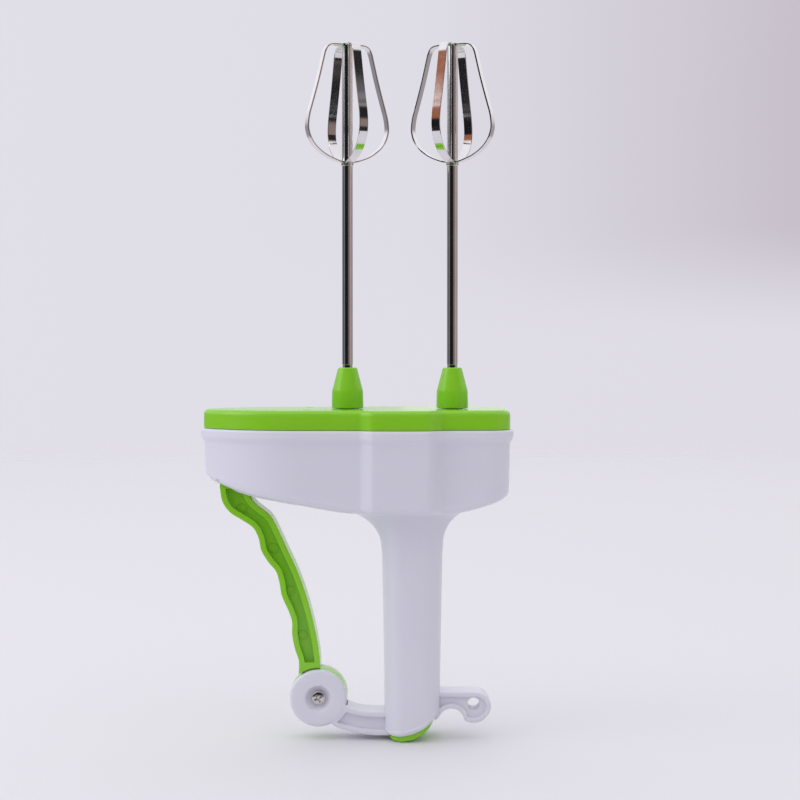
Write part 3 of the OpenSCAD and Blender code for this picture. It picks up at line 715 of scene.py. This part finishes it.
def lug():
    """Hanging lug with a pocket on each side and a hole."""
    body = plate("lug", lug_outline(), slab_levels(LUG_HALF, 0.8))
    pocket = lifted([(9, -120.2)] + arc(28.4, -125.1, 4.9, 90, 0, 14) + arc(27.4, -124, 5.9, -11, -118, 18)
                    + arc(17.6, -131.2, 7.8, 25, 132, 14) + [(9, -125.5)])
    for side in (-1, 1):
        cutter = plate("pocket", rounded(pocket, 0.6), pocket_levels(LUG_WEB, LUG_HALF, 0.5, side))
        combine(body, [cutter])
    bevel = 0.4
    hole = lathe("hole", [(0, -LUG_HALF), (LUG_HOLE_R + bevel, -LUG_HALF), (LUG_HOLE_R + bevel, -LUG_WEB),
                          (LUG_HOLE_R + bevel * 0.3, bevel * 0.3 - LUG_WEB), (LUG_HOLE_R, bevel - LUG_WEB),
                          (LUG_HOLE_R, LUG_WEB - bevel), (LUG_HOLE_R + bevel * 0.3, LUG_WEB - bevel * 0.3),
                          (LUG_HOLE_R + bevel, LUG_WEB), (LUG_HOLE_R + bevel, LUG_HALF), (0, LUG_HALF)],
                 48, (LUG_X, 0, LUG_Z), "Y")
    return combine(body, [hole])


def housing():
    """Case, handle, arm and lug as one moulding."""
    body = case_shell()
    combine(body, [slot_lip()], "UNION")
    grip = handle()
    core = mirrored_loft("core", [[(x, y, z) for x, y in plug_hole()] for z in (RIM - 150, RIM - 42)])
    combine(body, [grip, arm(), lug()], "UNION")
    combine(body, [core])
    outline = rounded_square((SLOT[1] - SLOT[0]) / 2, SLOT_HALF, 1.2, 4)
    centre = (SLOT[0] + SLOT[1]) / 2
    slot = mirrored_loft("slot", [[(x + centre, y, z) for x, y in outline] for z in (RIM - 45, RIM - 16)])
    combine(body, [slot])
    clean(body)
    finish_piece(body, "housing_shell", "case", WHITE, ["housing"], even=False)


# ---------------------------------------------------------------- cover and cap
def cover():
    """Lid with a rounded edge and a skirt inside the case, bosses under it and holes through them."""
    rings = []
    for d, z in ((CAVITY_IN - 0.1, 6.6), (CAVITY_IN - 0.1, -SKIRT_DROP + 0.2), (CAVITY_IN - 0.4, -SKIRT_DROP),
                 (2.9, -SKIRT_DROP), (2.7, -SKIRT_DROP + 0.2), (2.7, 0.12), (COVER_IN + 0.35, 0.12),
                 (COVER_IN + 0.1, 0.22), (COVER_IN, 0.5), (COVER_IN, 0.9),
                 (COVER_IN, COVER_H - COVER_ROUND - 0.4)):
        rings.append(case_ring(d, RIM + z))
    for c, s in quarter(7):
        rings.append(case_ring(COVER_IN + COVER_ROUND * (1 - c),
                               COVER_TOP - COVER_ROUND * (1 - s)))
    rings.append(case_ring(COVER_IN + COVER_ROUND + 0.5, COVER_TOP))
    body = mirrored_loft("cover", rings)
    bosses = []
    for x in SHAFT_X.values():
        bosses.append(lathe("boss", [(0, 3), (7, 3), (7, 8), (0, 8)], 48, (x, 0, RIM)))
    for y in (-SCREW_Y, SCREW_Y):
        bosses.append(lathe("boss", [(0, -0.1), (2.8, -0.1), (2.8, 8), (0, 8)], 32, (SCREW_X, y, RIM)))
    combine(body, bosses, "UNION")
    holes = []
    for x in SHAFT_X.values():
        holes.append(lathe("hole", [(0, -1), (4.6, -1), (4.6, COVER_H - 0.4), (5.0, COVER_H + 0.01),
                                    (5.0, COVER_H + 2), (0, COVER_H + 2)], 64, (x, 0, RIM)))
    for y in (-SCREW_Y, SCREW_Y):
        holes.append(lathe("hole", [(0, -5), (1.3, -5), (1.3, COVER_H - 1.6), (1.75, COVER_H - 1.59),
                                    (1.75, COVER_H - 0.25), (2.0, COVER_H + 0.01), (2.0, COVER_H + 2),
                                    (0, COVER_H + 2)], 40, (SCREW_X, y, RIM)))
    combine(body, holes)
    clean(body)
    finish_piece(body, "cover_shell", "case", GREEN, ["cover"])


def end_cap():
    """Hollow plug in the handle's heel, with a cylindrical underside."""
    plug = rounded_square(PLUG_W / 2, PLUG_D / 2, PLUG_R, 10)

    def cap_surface(x):
        return CAP_Z - math.sqrt(CAP_R ** 2 - (x - CAP_X) ** 2)

    rings = []
    edge = 0.9
    for c, s in quarter(5)[::-1]:
        ring = half_inset(plug, edge * (1 - c))
        rings.append([(x, y, cap_surface(x) + edge * (1 - s)) for x, y in ring])
    rings.append([(x, y, CAP_Z + 4) for x, y in plug])
    inner = half_inset(plug, 2)
    rings.append([(x, y, CAP_Z + 4) for x, y in inner])
    rings.append([(x, y, CAP_Z - 6) for x, y in inner])
    body = mirrored_loft("end_cap", rings)
    finish_piece(body, "end_cap_plug", "case", GREEN, ["end_cap"])


# ---------------------------------------------------------------- lever
FINGER_EDGE = [(-86.2, -25.5), (-85, -32.5), (-81.5, -37.5), (-76, -41), (-71.3, -44.3), (-68.8, -49),
               (-67.6, -54.5), (-64.5, -59.7), (-61, -64), (-59.5, -69), (-58.4, -75), (-55.5, -81.5),
               (-53.9, -86.5), (-53.8, -92.5), (-52.6, -98.7), (-50.9, -104), (-50.9, -110)]
PALM_EDGE = [(-41.3, -108), (-41.4, -103), (-42.4, -95.6), (-44.7, -84.8), (-47.7, -74), (-51.6, -63.3),
             (-56.2, -53.3), (-60.8, -43.3), (-63.5, -38.8), (-66.5, -36.2), (-70.1, -33.3), (-72.7, -29.9),
             (-73.6, -26)]
LEVER_PADS = [(-76.6, -36.0), (-62.3, -53.8), (-54.8, -73.0), (-49.2, -93.0)]


def between(points, low_z, high_z):
    """The stretch of a curve between two heights, with its ends on them."""
    out = []
    for a, b in zip(points, points[1:]):
        for z in (low_z, high_z):
            if (a[1] - z) * (b[1] - z) < 0:
                t = (z - a[1]) / (b[1] - a[1])
                out.append((a[0] + (b[0] - a[0]) * t, z))
        if low_z < b[1] < high_z:
            out.append(b)
    return out


def lever():
    """Squeeze lever: a plate with a channel on each side, a hub, and a tongue with the pin's eye."""
    finger, palm = spline(FINGER_EDGE, 6), spline(PALM_EDGE, 6)
    body = plate("lever", lifted(finger + palm), slab_levels(LEVER_HALF, 0.55))
    left = between(offset(finger, BORDER, False), -104.8, -26.8)
    right = between(offset(palm, BORDER, False), -104.8, -26.8)
    channel = rounded(lifted(left + right), 0.9, 40)
    for side in (-1, 1):
        combine(body, [plate("channel", channel, pocket_levels(LEVER_WEB, LEVER_HALF, 0.4, side, 0.35))])
    for side in (-1, 1):
        ring = lathe("ring", [(0, HUB_HALF), (DISC_R + 0.9, HUB_HALF), (DISC_R + 0.9, FAR), (0, FAR)], 112)
        combine(body, [place(ring, PIVOT, -90 * side, "X")])
    hub_edge = 0.45
    hub_profile = [(0, -HUB_HALF), (DISC_R - hub_edge, -HUB_HALF), (DISC_R - 0.13, -HUB_HALF + 0.13),
                   (DISC_R, -HUB_HALF + hub_edge), (DISC_R, HUB_HALF - hub_edge),
                   (DISC_R - 0.13, HUB_HALF - 0.13), (DISC_R - hub_edge, HUB_HALF), (0, HUB_HALF)]
    hub = lathe("hub", hub_profile, 112, PIVOT, "Y")
    tongue_outline = [(-86.2, RIM - 25.8), (-73.6, RIM - 26.3), (-74.8, RIM - 15), (-84.2, RIM - 15)]
    middle_y, half_t = (-LEVER_HALF - 2.3) / 2, (LEVER_HALF - 2.3) / 2
    tongue = plate("tongue", rounded(tongue_outline, 1), slab_levels(half_t, 0.3, middle_y))
    eye_profile = [(0, -half_t), (4.4, -half_t), (4.6, -half_t + 0.2), (4.6, half_t - 0.2), (4.4, half_t),
                   (0, half_t)]
    eye = lathe("eye", eye_profile, 48, (PIN_X, middle_y, PIN_Z), "Y")
    rise = [(0, 0.1), (1.5, 0.1), (1.6, 0.6), (1.95, 0.6), (2.1, 0.45)]
    profile = [(r, -LEVER_WEB - h) for r, h in rise] + [(r, LEVER_WEB + h) for r, h in rise[::-1]]
    pads = [lathe("pad", profile, 32, (x, 0, z), "Y") for x, z in lifted(LEVER_PADS)]
    combine(body, [hub, tongue, eye] + pads, "UNION")
    for side in (-1, 1):
        counter = lathe("counter", [(0, HUB_WAIST), (BOSS_R + 0.3, HUB_WAIST), (BOSS_R + 0.3, FAR), (0, FAR)],
                        64)
        combine(body, [place(counter, PIVOT, -90 * side, "X")])
    bore = lathe("bore", [(0, -FAR), (2.66, -FAR), (2.66, FAR), (0, FAR)], 48, PIVOT, "Y")
    pin_hole = lathe("pin_hole", [(0, -5), (1.95, -5), (1.95, 5.2), (0, 5.2)], 32, (PIN_X, 0, PIN_Z), "Y")
    combine(body, [bore, pin_hole])
    clean(body)
    finish_piece(body, "squeeze_lever", "lever", GREEN, ["lever"])


# ---------------------------------------------------------------- screws
def screw_solid(head_r, head_h, shank_r, length):
    """Pan-head screw along +Z with its head on z = 0, a cross recess and a turned thread."""
    crown = [(head_r * c ** 0.62, head_h * (0.32 + 0.68 * s)) for c, s in quarter(6)]
    profile = [(0, -length), (shank_r * 0.5, -length + 0.2)]
    pitch = 0.9
    z = -length + shank_r
    while z < -1.2:
        profile += [(shank_r * 0.8, z), (shank_r, z + pitch / 2)]
        z += pitch
    profile += [(shank_r * 0.9, z), (shank_r * 0.9, 0), (head_r * 0.97, 0), (head_r, head_h * 0.1)]
    profile += crown[:-1] + [(0, head_h)]
    body = lathe("screw", profile, 48)
    half_w, arm_l = head_r * 0.15, head_r * 0.62
    for turn in (0, 90):
        rings = []
        for z, l, w in ((head_h * 0.3, arm_l * 0.35, half_w * 0.5),
                        (head_h * 0.62, arm_l * 0.8, half_w * 0.85),
                        (head_h * 1.3, arm_l * 1.08, half_w * 1.15)):
            rings.append([(-l, -w, z), (l, -w, z), (l, w, z), (-l, w, z)])
        combine(body, [place(loft("slot", rings), (0, 0, 0), turn)])
    return body


def join(objects, name):
    """Joins loose solids into one object."""
    bm = bmesh.new()
    for o in objects:
        bm.from_mesh(o.data)
    mesh = bpy.data.meshes.new(name)
    bm.to_mesh(mesh)
    bm.free()
    for o in objects:
        bpy.data.objects.remove(o)
    obj = bpy.data.objects.new(name, mesh)
    bpy.context.scene.collection.objects.link(obj)
    return obj


def pivot_screw():
    body = screw_solid(3.3, 2.0, 2.55, ARM_HALF - RECESS_DEPTH + BOSS_IN)
    tip = lathe("tip", [(0, -11), (1.0, -11), (1.45, -10.3), (1.45, -4), (0, -4)], 32)
    combine(body, [tip], "UNION")
    place(body, (0, 0, 0), 28)
    place(body, (PIVOT_X, -ARM_HALF + RECESS_DEPTH, PIVOT_Z), 90, "X")
    finish_piece(body, "pivot_screw_head", "case", BRIGHT_SCREW, ["pivot_screw"])


def cover_screws():
    made = []
    for y, turn in ((-SCREW_Y, 20), (SCREW_Y, 65)):
        body = screw_solid(1.6, 1.2, 1.1, 15.9)
        made.append(place(body, (SCREW_X, y, COVER_TOP - 1.6), turn))
    finish_piece(join(made, "screws"), "cover_screw_pair", "case", BRIGHT_SCREW,
                 ["cover_screws"])


# ---------------------------------------------------------------- chucks and beaters
def hexagon(r, z):
    return [(r * math.cos(math.radians(60 * i)), r * math.sin(math.radians(60 * i)), z) for i in range(6)]


def chuck(side):
    """Cone with a hexagonal socket for the shaft's foot and a bore for the spindle's end."""
    profile = [(0, -3.9), (3.2, -3.9), (3.2, 0), (6.9, 0), (7.1, 0.15), (7.15, 0.5), (7.1, 3.5), (6.98, 7.3),
               (6.9, 7.9), (6.72, 8.6), (4.42, 17.4), (4.3, 17.85), (4.05, 18.12), (3.7, 18.2), (0, 18.2)]
    body = lathe("chuck", profile, 96)
    hole = loft("hole", [hexagon(2.35 * s, z) for s, z in ((1, 3.9), (1, 17.6), (1.2, 18.25), (1.2, FAR))])
    bore = lathe("bore", [(0, -5), (1.9, -5), (1.9, 3.3), (0, 3.3)], 32)
    combine(body, [hole, bore])
    place(body, (SHAFT_X[side], 0, CHUCK_Z))
    finish_piece(body, f"chuck_{side}_body", f"{side}_spindle", GREEN, [f"chuck_{side}"])


def beater_shaft(side):
    """Thin tube rolled from polished sheet, on a hexagonal shank."""
    tube_z = RIM + 28.5
    wall = 0.45
    profile = [(0, tube_z + 3), (TUBE_R - wall, tube_z + 3), (TUBE_R - wall, tube_z + 0.1),
               (TUBE_R - wall + 0.1, tube_z), (TUBE_R - 0.12, tube_z), (TUBE_R, tube_z + 0.15),
               (TUBE_R, SHAFT_TOP - 0.4), (TUBE_R - 0.1, SHAFT_TOP - 0.1), (TUBE_R - 0.4, SHAFT_TOP),
               (0, SHAFT_TOP)]
    body = lathe("tube", profile, 64)
    flat = 3.9 / math.sqrt(3)
    shank = [hexagon(flat * s, z) for z, s in ((SHANK_Z, 0.75), (SHANK_Z + 0.6, 1), (tube_z - 0.8, 1),
                                               (tube_z + 4, 0.8))]
    combine(body, [loft("shank", shank)], "UNION")
    place(body, (SHAFT_X[side], 0, 0))
    finish_piece(body, f"beater_shaft_{side}_tube", f"{side}_beater", CHROME,
                 [f"beater_shaft_{side}"])


BLADE_LINE = [(2.5, 0), (5, 0.5), (10.5, 2.7), (15.2, 6.1), (18, 9.8), (19.3, 13.4), (19.6, 16.5), (19, 21),
              (17.9, 25), (16.3, 30.5), (14.3, 37.8), (12.4, 45.6), (11.4, 49.4),
              (9.9, CAGE_H - 1.1), (7.3, CAGE_H - 0.1), (2.5, CAGE_H)]


def blade(side, which):
    """Bent strip: two arms from the foot over the widest part to the flat top."""
    line = spline(BLADE_LINE, 7)
    inner = offset(line, BLADE_T, False)
    across, through = 1 - 2 * 0.14 / BLADE_W, 0.14 / BLADE_T  # bevels, as shares of the section
    corners = [(-1, through), (-across, 0), (across, 0), (1, through),
               (1, 1 - through), (across, 1), (-across, 1), (-1, 1 - through)]
    halves = []
    for turn in (0, 180):
        rings = [[(r0 + (r1 - r0) * t, s * BLADE_W / 2, h0 + (h1 - h0) * t) for s, t in corners]
                 for (r0, h0), (r1, h1) in zip(line, inner)]
        half = loft("half", rings)
        halves.append(place(half, (0, 0, 0), turn))
    body = join(halves, "blade")
    sign = 1 if side == "left" else -1
    letter = "ab"[which]
    place(body, (SHAFT_X[side], 0, CAGE_Z), sign * (BLADE_TURN + 90 * which))
    finish_piece(body, f"blade_{letter}_{side}_strip", f"{side}_beater", CHROME,
                 [f"blade_{letter}_{side}"], 35)


def blade_fittings(side):
    """Riveted top and pressed foot that hold the strips to the tube."""
    x = SHAFT_X[side]
    inner = TUBE_R - 0.3
    foot = lathe("foot", [(inner, -1.3), (2.6, -1.3), (2.8, -1.1), (2.86, -0.8), (2.86, -0.3), (2.75, -0.1),
                          (inner, -0.1), (inner, -1.3)], 48, (x, 0, CAGE_Z))
    finish_piece(foot, f"blade_foot_{side}_ring", f"{side}_beater", CHROME,
                 [f"blade_foot_{side}"])
    cap = lathe("cap", [(0, 0.02), (3.0, 0.02), (3.2, 0.2), (3.0, 0.42), (2.2, 0.68), (1.2, 0.86), (0, 0.93)],
                40, (x, 0, SHAFT_TOP))
    finish_piece(cap, f"blade_cap_{side}_rivet", f"{side}_beater", CHROME,
                 [f"blade_cap_{side}"])


# ---------------------------------------------------------------- inside
def return_spring():
    """Close-wound pull spring with a hooked loop at each end."""
    _, y, z = middle("return_spring")
    x0, x1 = -73.1, -56.4
    coil_r, wire_r, pitch, facets = 1.5, 0.42, 0.93, 14
    count = int((x1 - x0) / pitch) * facets
    points = []
    for k in range(count + 1):
        a = 2 * math.pi * k / facets
        points.append((x0 + (x1 - x0) * k / count, y + coil_r * math.cos(a), z + coil_r * math.sin(a)))
    left = [(-76.2 + 2.05 * math.cos(math.radians(a)), y + 2.05 * math.sin(math.radians(a)), z)
            for a in range(-300, 1, 25)]
    right = [(-54.6 + 1.7 * math.cos(math.radians(a)), y, z + 1.7 * math.sin(math.radians(a)))
             for a in range(180, -121, -25)]
    curve = bpy.data.curves.new("spring", "CURVE")
    curve.dimensions = "3D"
    curve.bevel_depth = wire_r * MM
    curve.bevel_resolution = 2
    curve.use_fill_caps = True
    path = left + points + right
    line = curve.splines.new("POLY")
    line.points.add(len(path) - 1)
    for p, q in zip(line.points, path):
        p.co = (*(c * MM for c in q), 1)
    holder = bpy.data.objects.new("spring", curve)
    bpy.context.scene.collection.objects.link(holder)
    graph = bpy.context.evaluated_depsgraph_get()
    mesh = bpy.data.meshes.new_from_object(holder.evaluated_get(graph))
    bpy.data.objects.remove(holder)
    body = bpy.data.objects.new("spring_wire", mesh)
    bpy.context.scene.collection.objects.link(body)
    clean(body, 0.001)
    finish_piece(body, "return_spring_wire", "case", PLAIN, ["return_spring"], 60)


def dress_cad_nodes():
    """Materials for the inner parts, which keep their CAD shape."""
    looks = {"gear_plate": NYLON, "rack": NYLON, "lever_pin": PLAIN, "gear_plate_screws": BRIGHT_SCREW}
    for side in ("left", "right"):
        looks[f"drive_gear_{side}"] = NYLON
        looks[f"spindle_gear_{side}"] = NYLON
        for node in ("gear_axle", "spindle_bush", "spindle"):
            looks[f"{node}_{side}"] = PLAIN
    for node, material in looks.items():
        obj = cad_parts[node]
        for slot in obj.material_slots:
            slot.material = material
        if not obj.material_slots:
            obj.data.materials.append(material)


# ---------------------------------------------------------------- stage
def floor_material():
    """Pale floor that melts into the backdrop far from the object."""
    material, tree, shader = new_material("floor")
    tone = noise(tree, 1.5, 2)
    tree.links.new(mix_colour(tree, remap(tree, tone, 0, 1), (0.795, 0.782, 0.808), (0.788, 0.775, 0.8)),
                   shader.inputs["Base Color"])
    shader.inputs["Roughness"].default_value = 0.6
    shader.inputs["Specular IOR Level"].default_value = 0.25
    position = tree.nodes.new("ShaderNodeTexCoord").outputs["Object"]
    distance = tree.nodes.new("ShaderNodeVectorMath")
    distance.operation = "LENGTH"
    tree.links.new(position, distance.inputs[0])
    fade = tree.nodes.new("ShaderNodeMixShader")
    tree.links.new(eased(tree, distance.outputs["Value"], 0.7, 2.4), fade.inputs["Fac"])
    tree.links.new(shader.outputs[0], fade.inputs[1])
    tree.links.new(tree.nodes.new("ShaderNodeBsdfTransparent").outputs[0], fade.inputs[2])
    output = next(node for node in tree.nodes if node.type == "OUTPUT_MATERIAL")
    tree.links.new(fade.outputs[0], output.inputs["Surface"])
    return material


def stage():
    """Floor in two parts: steel doesn't mirror the front one, as it faces a dark room in the photo."""
    material = floor_material()
    reach, split = 3, -0.42
    for name, near, far in (("floor_back", split, reach), ("floor_front", -reach, split)):
        mesh = bpy.data.meshes.new(name)
        bm = bmesh.new()
        bm.faces.new([bm.verts.new((x, y, 0))
                      for x, y in ((-reach, near), (reach, near), (reach, far), (-reach, far))])
        bm.to_mesh(mesh)
        bm.free()
        floor = bpy.data.objects.new(name, mesh)
        floor.location = (0, 0, FLOOR_Z * MM - 0.0001)
        bpy.context.scene.collection.objects.link(floor)
        mesh.materials.append(material)
        if name == "floor_front":
            floor.visible_glossy = False
            floor.visible_diffuse = False
    studio()


def ramp(tree, value, stops, span):
    """Colours for a value from 0 to 1; the stops run over the span, with 0 in its middle."""
    node = tree.nodes.new("ShaderNodeValToRGB")
    elements = node.color_ramp.elements
    for stop, colour in stops:
        element = elements.new(stop / span + 0.5)
        element.color = (*colour, 1)
    elements.remove(elements[-1])
    elements.remove(elements[0])
    tree.links.new(value, node.inputs["Fac"])
    return node.outputs["Color"]


def mixed(tree, factor, a, b):
    node = tree.nodes.new("ShaderNodeMix")
    node.data_type = "RGBA"
    tree.links.new(factor, node.inputs["Factor"])
    tree.links.new(a, node.inputs["A"])
    tree.links.new(b, node.inputs["B"])
    return node.outputs["Result"]


def eased(tree, value, start, end):
    node = tree.nodes.new("ShaderNodeMapRange")
    node.interpolation_type = "SMOOTHSTEP"
    node.inputs["From Min"].default_value = start
    node.inputs["From Max"].default_value = end
    tree.links.new(value, node.inputs["Value"])
    return node.outputs["Result"]


# Colours of the room. AROUND, UPPER, FILL and LOWER go by degrees around Z, 0 at the front and
# -90 at the left; the others go by the direction's X, from -1 at the left to 1 at the right.
BACK_WALL = (0.78, 0.77, 0.83)
DARK = (0.02, 0.02, 0.022)
AROUND = [(-180, BACK_WALL), (-150, (0.50, 0.49, 0.52)), (-122, (0.22, 0.21, 0.23)),
          (-100, (0.10, 0.10, 0.11)), (-84, (0.07, 0.07, 0.08)), (-68, (0.26, 0.26, 0.28)),
          (-58, (0.16, 0.16, 0.18)), (-50, (0.012, 0.012, 0.014)), (4, (0.012, 0.012, 0.013)),
          (22, (0.10, 0.09, 0.09)), (34, (0.27, 0.22, 0.21)), (56, (0.30, 0.21, 0.19)),
          (74, (0.56, 0.44, 0.42)), (92, (0.50, 0.42, 0.42)), (108, (0.24, 0.22, 0.24)),
          (134, (0.42, 0.38, 0.40)), (162, (0.66, 0.64, 0.69)), (180, BACK_WALL)]
UPPER = [(-180, BACK_WALL), (-90, (0.25, 0.24, 0.26)), (-76, (0.40, 0.15, 0.08)),
         (-32, (0.36, 0.13, 0.07)), (-27, DARK), (60, DARK),
         (80, (0.4, 0.36, 0.38)), (180, BACK_WALL)]
FILL = [(-180, (0.60, 0.61, 0.67)), (-90, (0.66, 0.67, 0.73)), (-45, (0.56, 0.57, 0.63)),
        (0, (0.26, 0.27, 0.31)), (45, (0.18, 0.18, 0.21)), (90, (0.26, 0.25, 0.27)),
        (180, (0.60, 0.61, 0.67))]
LOWER = [(-180, (0.70, 0.69, 0.74)), (-95, (0.30, 0.29, 0.31)), (-72, DARK),
         (66, DARK), (95, (0.36, 0.33, 0.34)), (180, (0.70, 0.69, 0.74))]
BOUNCE = [(-1, (1.12, 1.12, 1.21)), (0, (1.08, 1.08, 1.18)), (1, (1.0, 0.99, 1.07))]
OVERHEAD = [(-1, (1.14, 1.13, 1.20)), (0, (0.97, 0.96, 1.02)), (1, (0.80, 0.78, 0.83))]
BACKDROP = [(-0.25, (0.752, 0.735, 0.80)), (0, (0.735, 0.72, 0.785)), (0.1, (0.675, 0.65, 0.715)),
            (0.26, (0.56, 0.51, 0.58))]
HORIZON = [(-0.25, (0.752, 0.735, 0.80)), (0.26, (0.735, 0.715, 0.78))]


def studio():
    """Soft room light: a bright ceiling and back, and a dark front that polished metal mirrors."""
    world = bpy.data.worlds.new("studio")
    bpy.context.scene.world = world
    world.use_nodes = True
    tree = world.node_tree
    direction = tree.nodes.new("ShaderNodeTexCoord").outputs["Generated"]
    split = tree.nodes.new("ShaderNodeSeparateXYZ")
    tree.links.new(direction, split.inputs[0])
    x, y, z = split.outputs
    turn = maths(tree, "ARCTAN2", x, maths(tree, "MULTIPLY", y, -1))
    turn = maths(tree, "ADD", maths(tree, "DIVIDE", turn, 2 * math.pi), 0.5)
    around = ramp(tree, turn, AROUND, 360)
    side = maths(tree, "ADD", maths(tree, "MULTIPLY", x, 0.5), 0.5)
    overhead = ramp(tree, side, OVERHEAD, 2)
    front = maths(tree, "MAXIMUM", maths(tree, "MULTIPLY", y, -1), 0)
    height = maths(tree, "SUBTRACT", z, front)
    upper = ramp(tree, turn, UPPER, 360)
    lower = ramp(tree, turn, LOWER, 360)
    low_band = mixed(tree, eased(tree, z, -0.3, -0.14), lower, around)
    middle_band = mixed(tree, eased(tree, z, 0.26, 0.36), low_band, upper)
    mirrored = mixed(tree, eased(tree, height, 0.08, 0.34), middle_band, overhead)
    fill = ramp(tree, turn, FILL, 360)
    bounce = ramp(tree, side, BOUNCE, 2)
    above = mixed(tree, eased(tree, z, 0.1, 0.6), fill, overhead)
    soft = mixed(tree, eased(tree, z, -0.4, 0.0), bounce, above)
    path = tree.nodes.new("ShaderNodeLightPath")
    light = mixed(tree, path.outputs["Is Diffuse Ray"], mirrored, soft)
    backdrop = ramp(tree, side, BACKDROP, 2)
    horizon = ramp(tree, side, HORIZON, 2)
    plain = mixed(tree, eased(tree, z, 0.0, 0.08), horizon, backdrop)
    seen = mixed(tree, path.outputs["Is Camera Ray"], light, plain)
    tree.links.new(seen, tree.nodes["Background"].inputs["Color"])
    tree.nodes["Background"].inputs["Strength"].default_value = 1


def left_box():
    """Large soft light at the upper left, aimed at the object."""
    data = bpy.data.lights.new("left_box", "AREA")
    data.shape = "RECTANGLE"
    data.size = data.size_y = 0.9
    data.energy = 3.2
    light = bpy.data.objects.new("left_box", data)
    light.location = (-1.3, -0.35, 0.9)
    aim = Vector((0, 0, 0.05)) - light.location
    light.rotation_euler = aim.to_track_quat("-Z", "Y").to_euler()
    bpy.context.scene.collection.objects.link(light)


def camera():
    """At the photograph's eye, 0.7 m in front of the object, looking down by 1.2 degrees."""
    data = bpy.data.cameras.new("camera")
    data.sensor_width = 36
    data.lens = 70.92
    data.shift_y = -0.03
    data.clip_end = 100
    cam = bpy.data.objects.new("camera", data)
    cam.location = (-0.0034, -0.709, 0.1253)
    cam.rotation_euler = (math.radians(88.8), 0, math.radians(0.17))
    bpy.context.scene.collection.objects.link(cam)
    bpy.context.scene.camera = cam


bpy.context.scene.view_settings.view_transform = "Standard"
camera()
stage()
left_box()
housing()
cover()
end_cap()
lever()
pivot_screw()
cover_screws()
return_spring()
for side in ("left", "right"):
    chuck(side)
    beater_shaft(side)
    blade_fittings(side)
    for which in (0, 1):
        blade(side, which)
dress_cad_nodes()
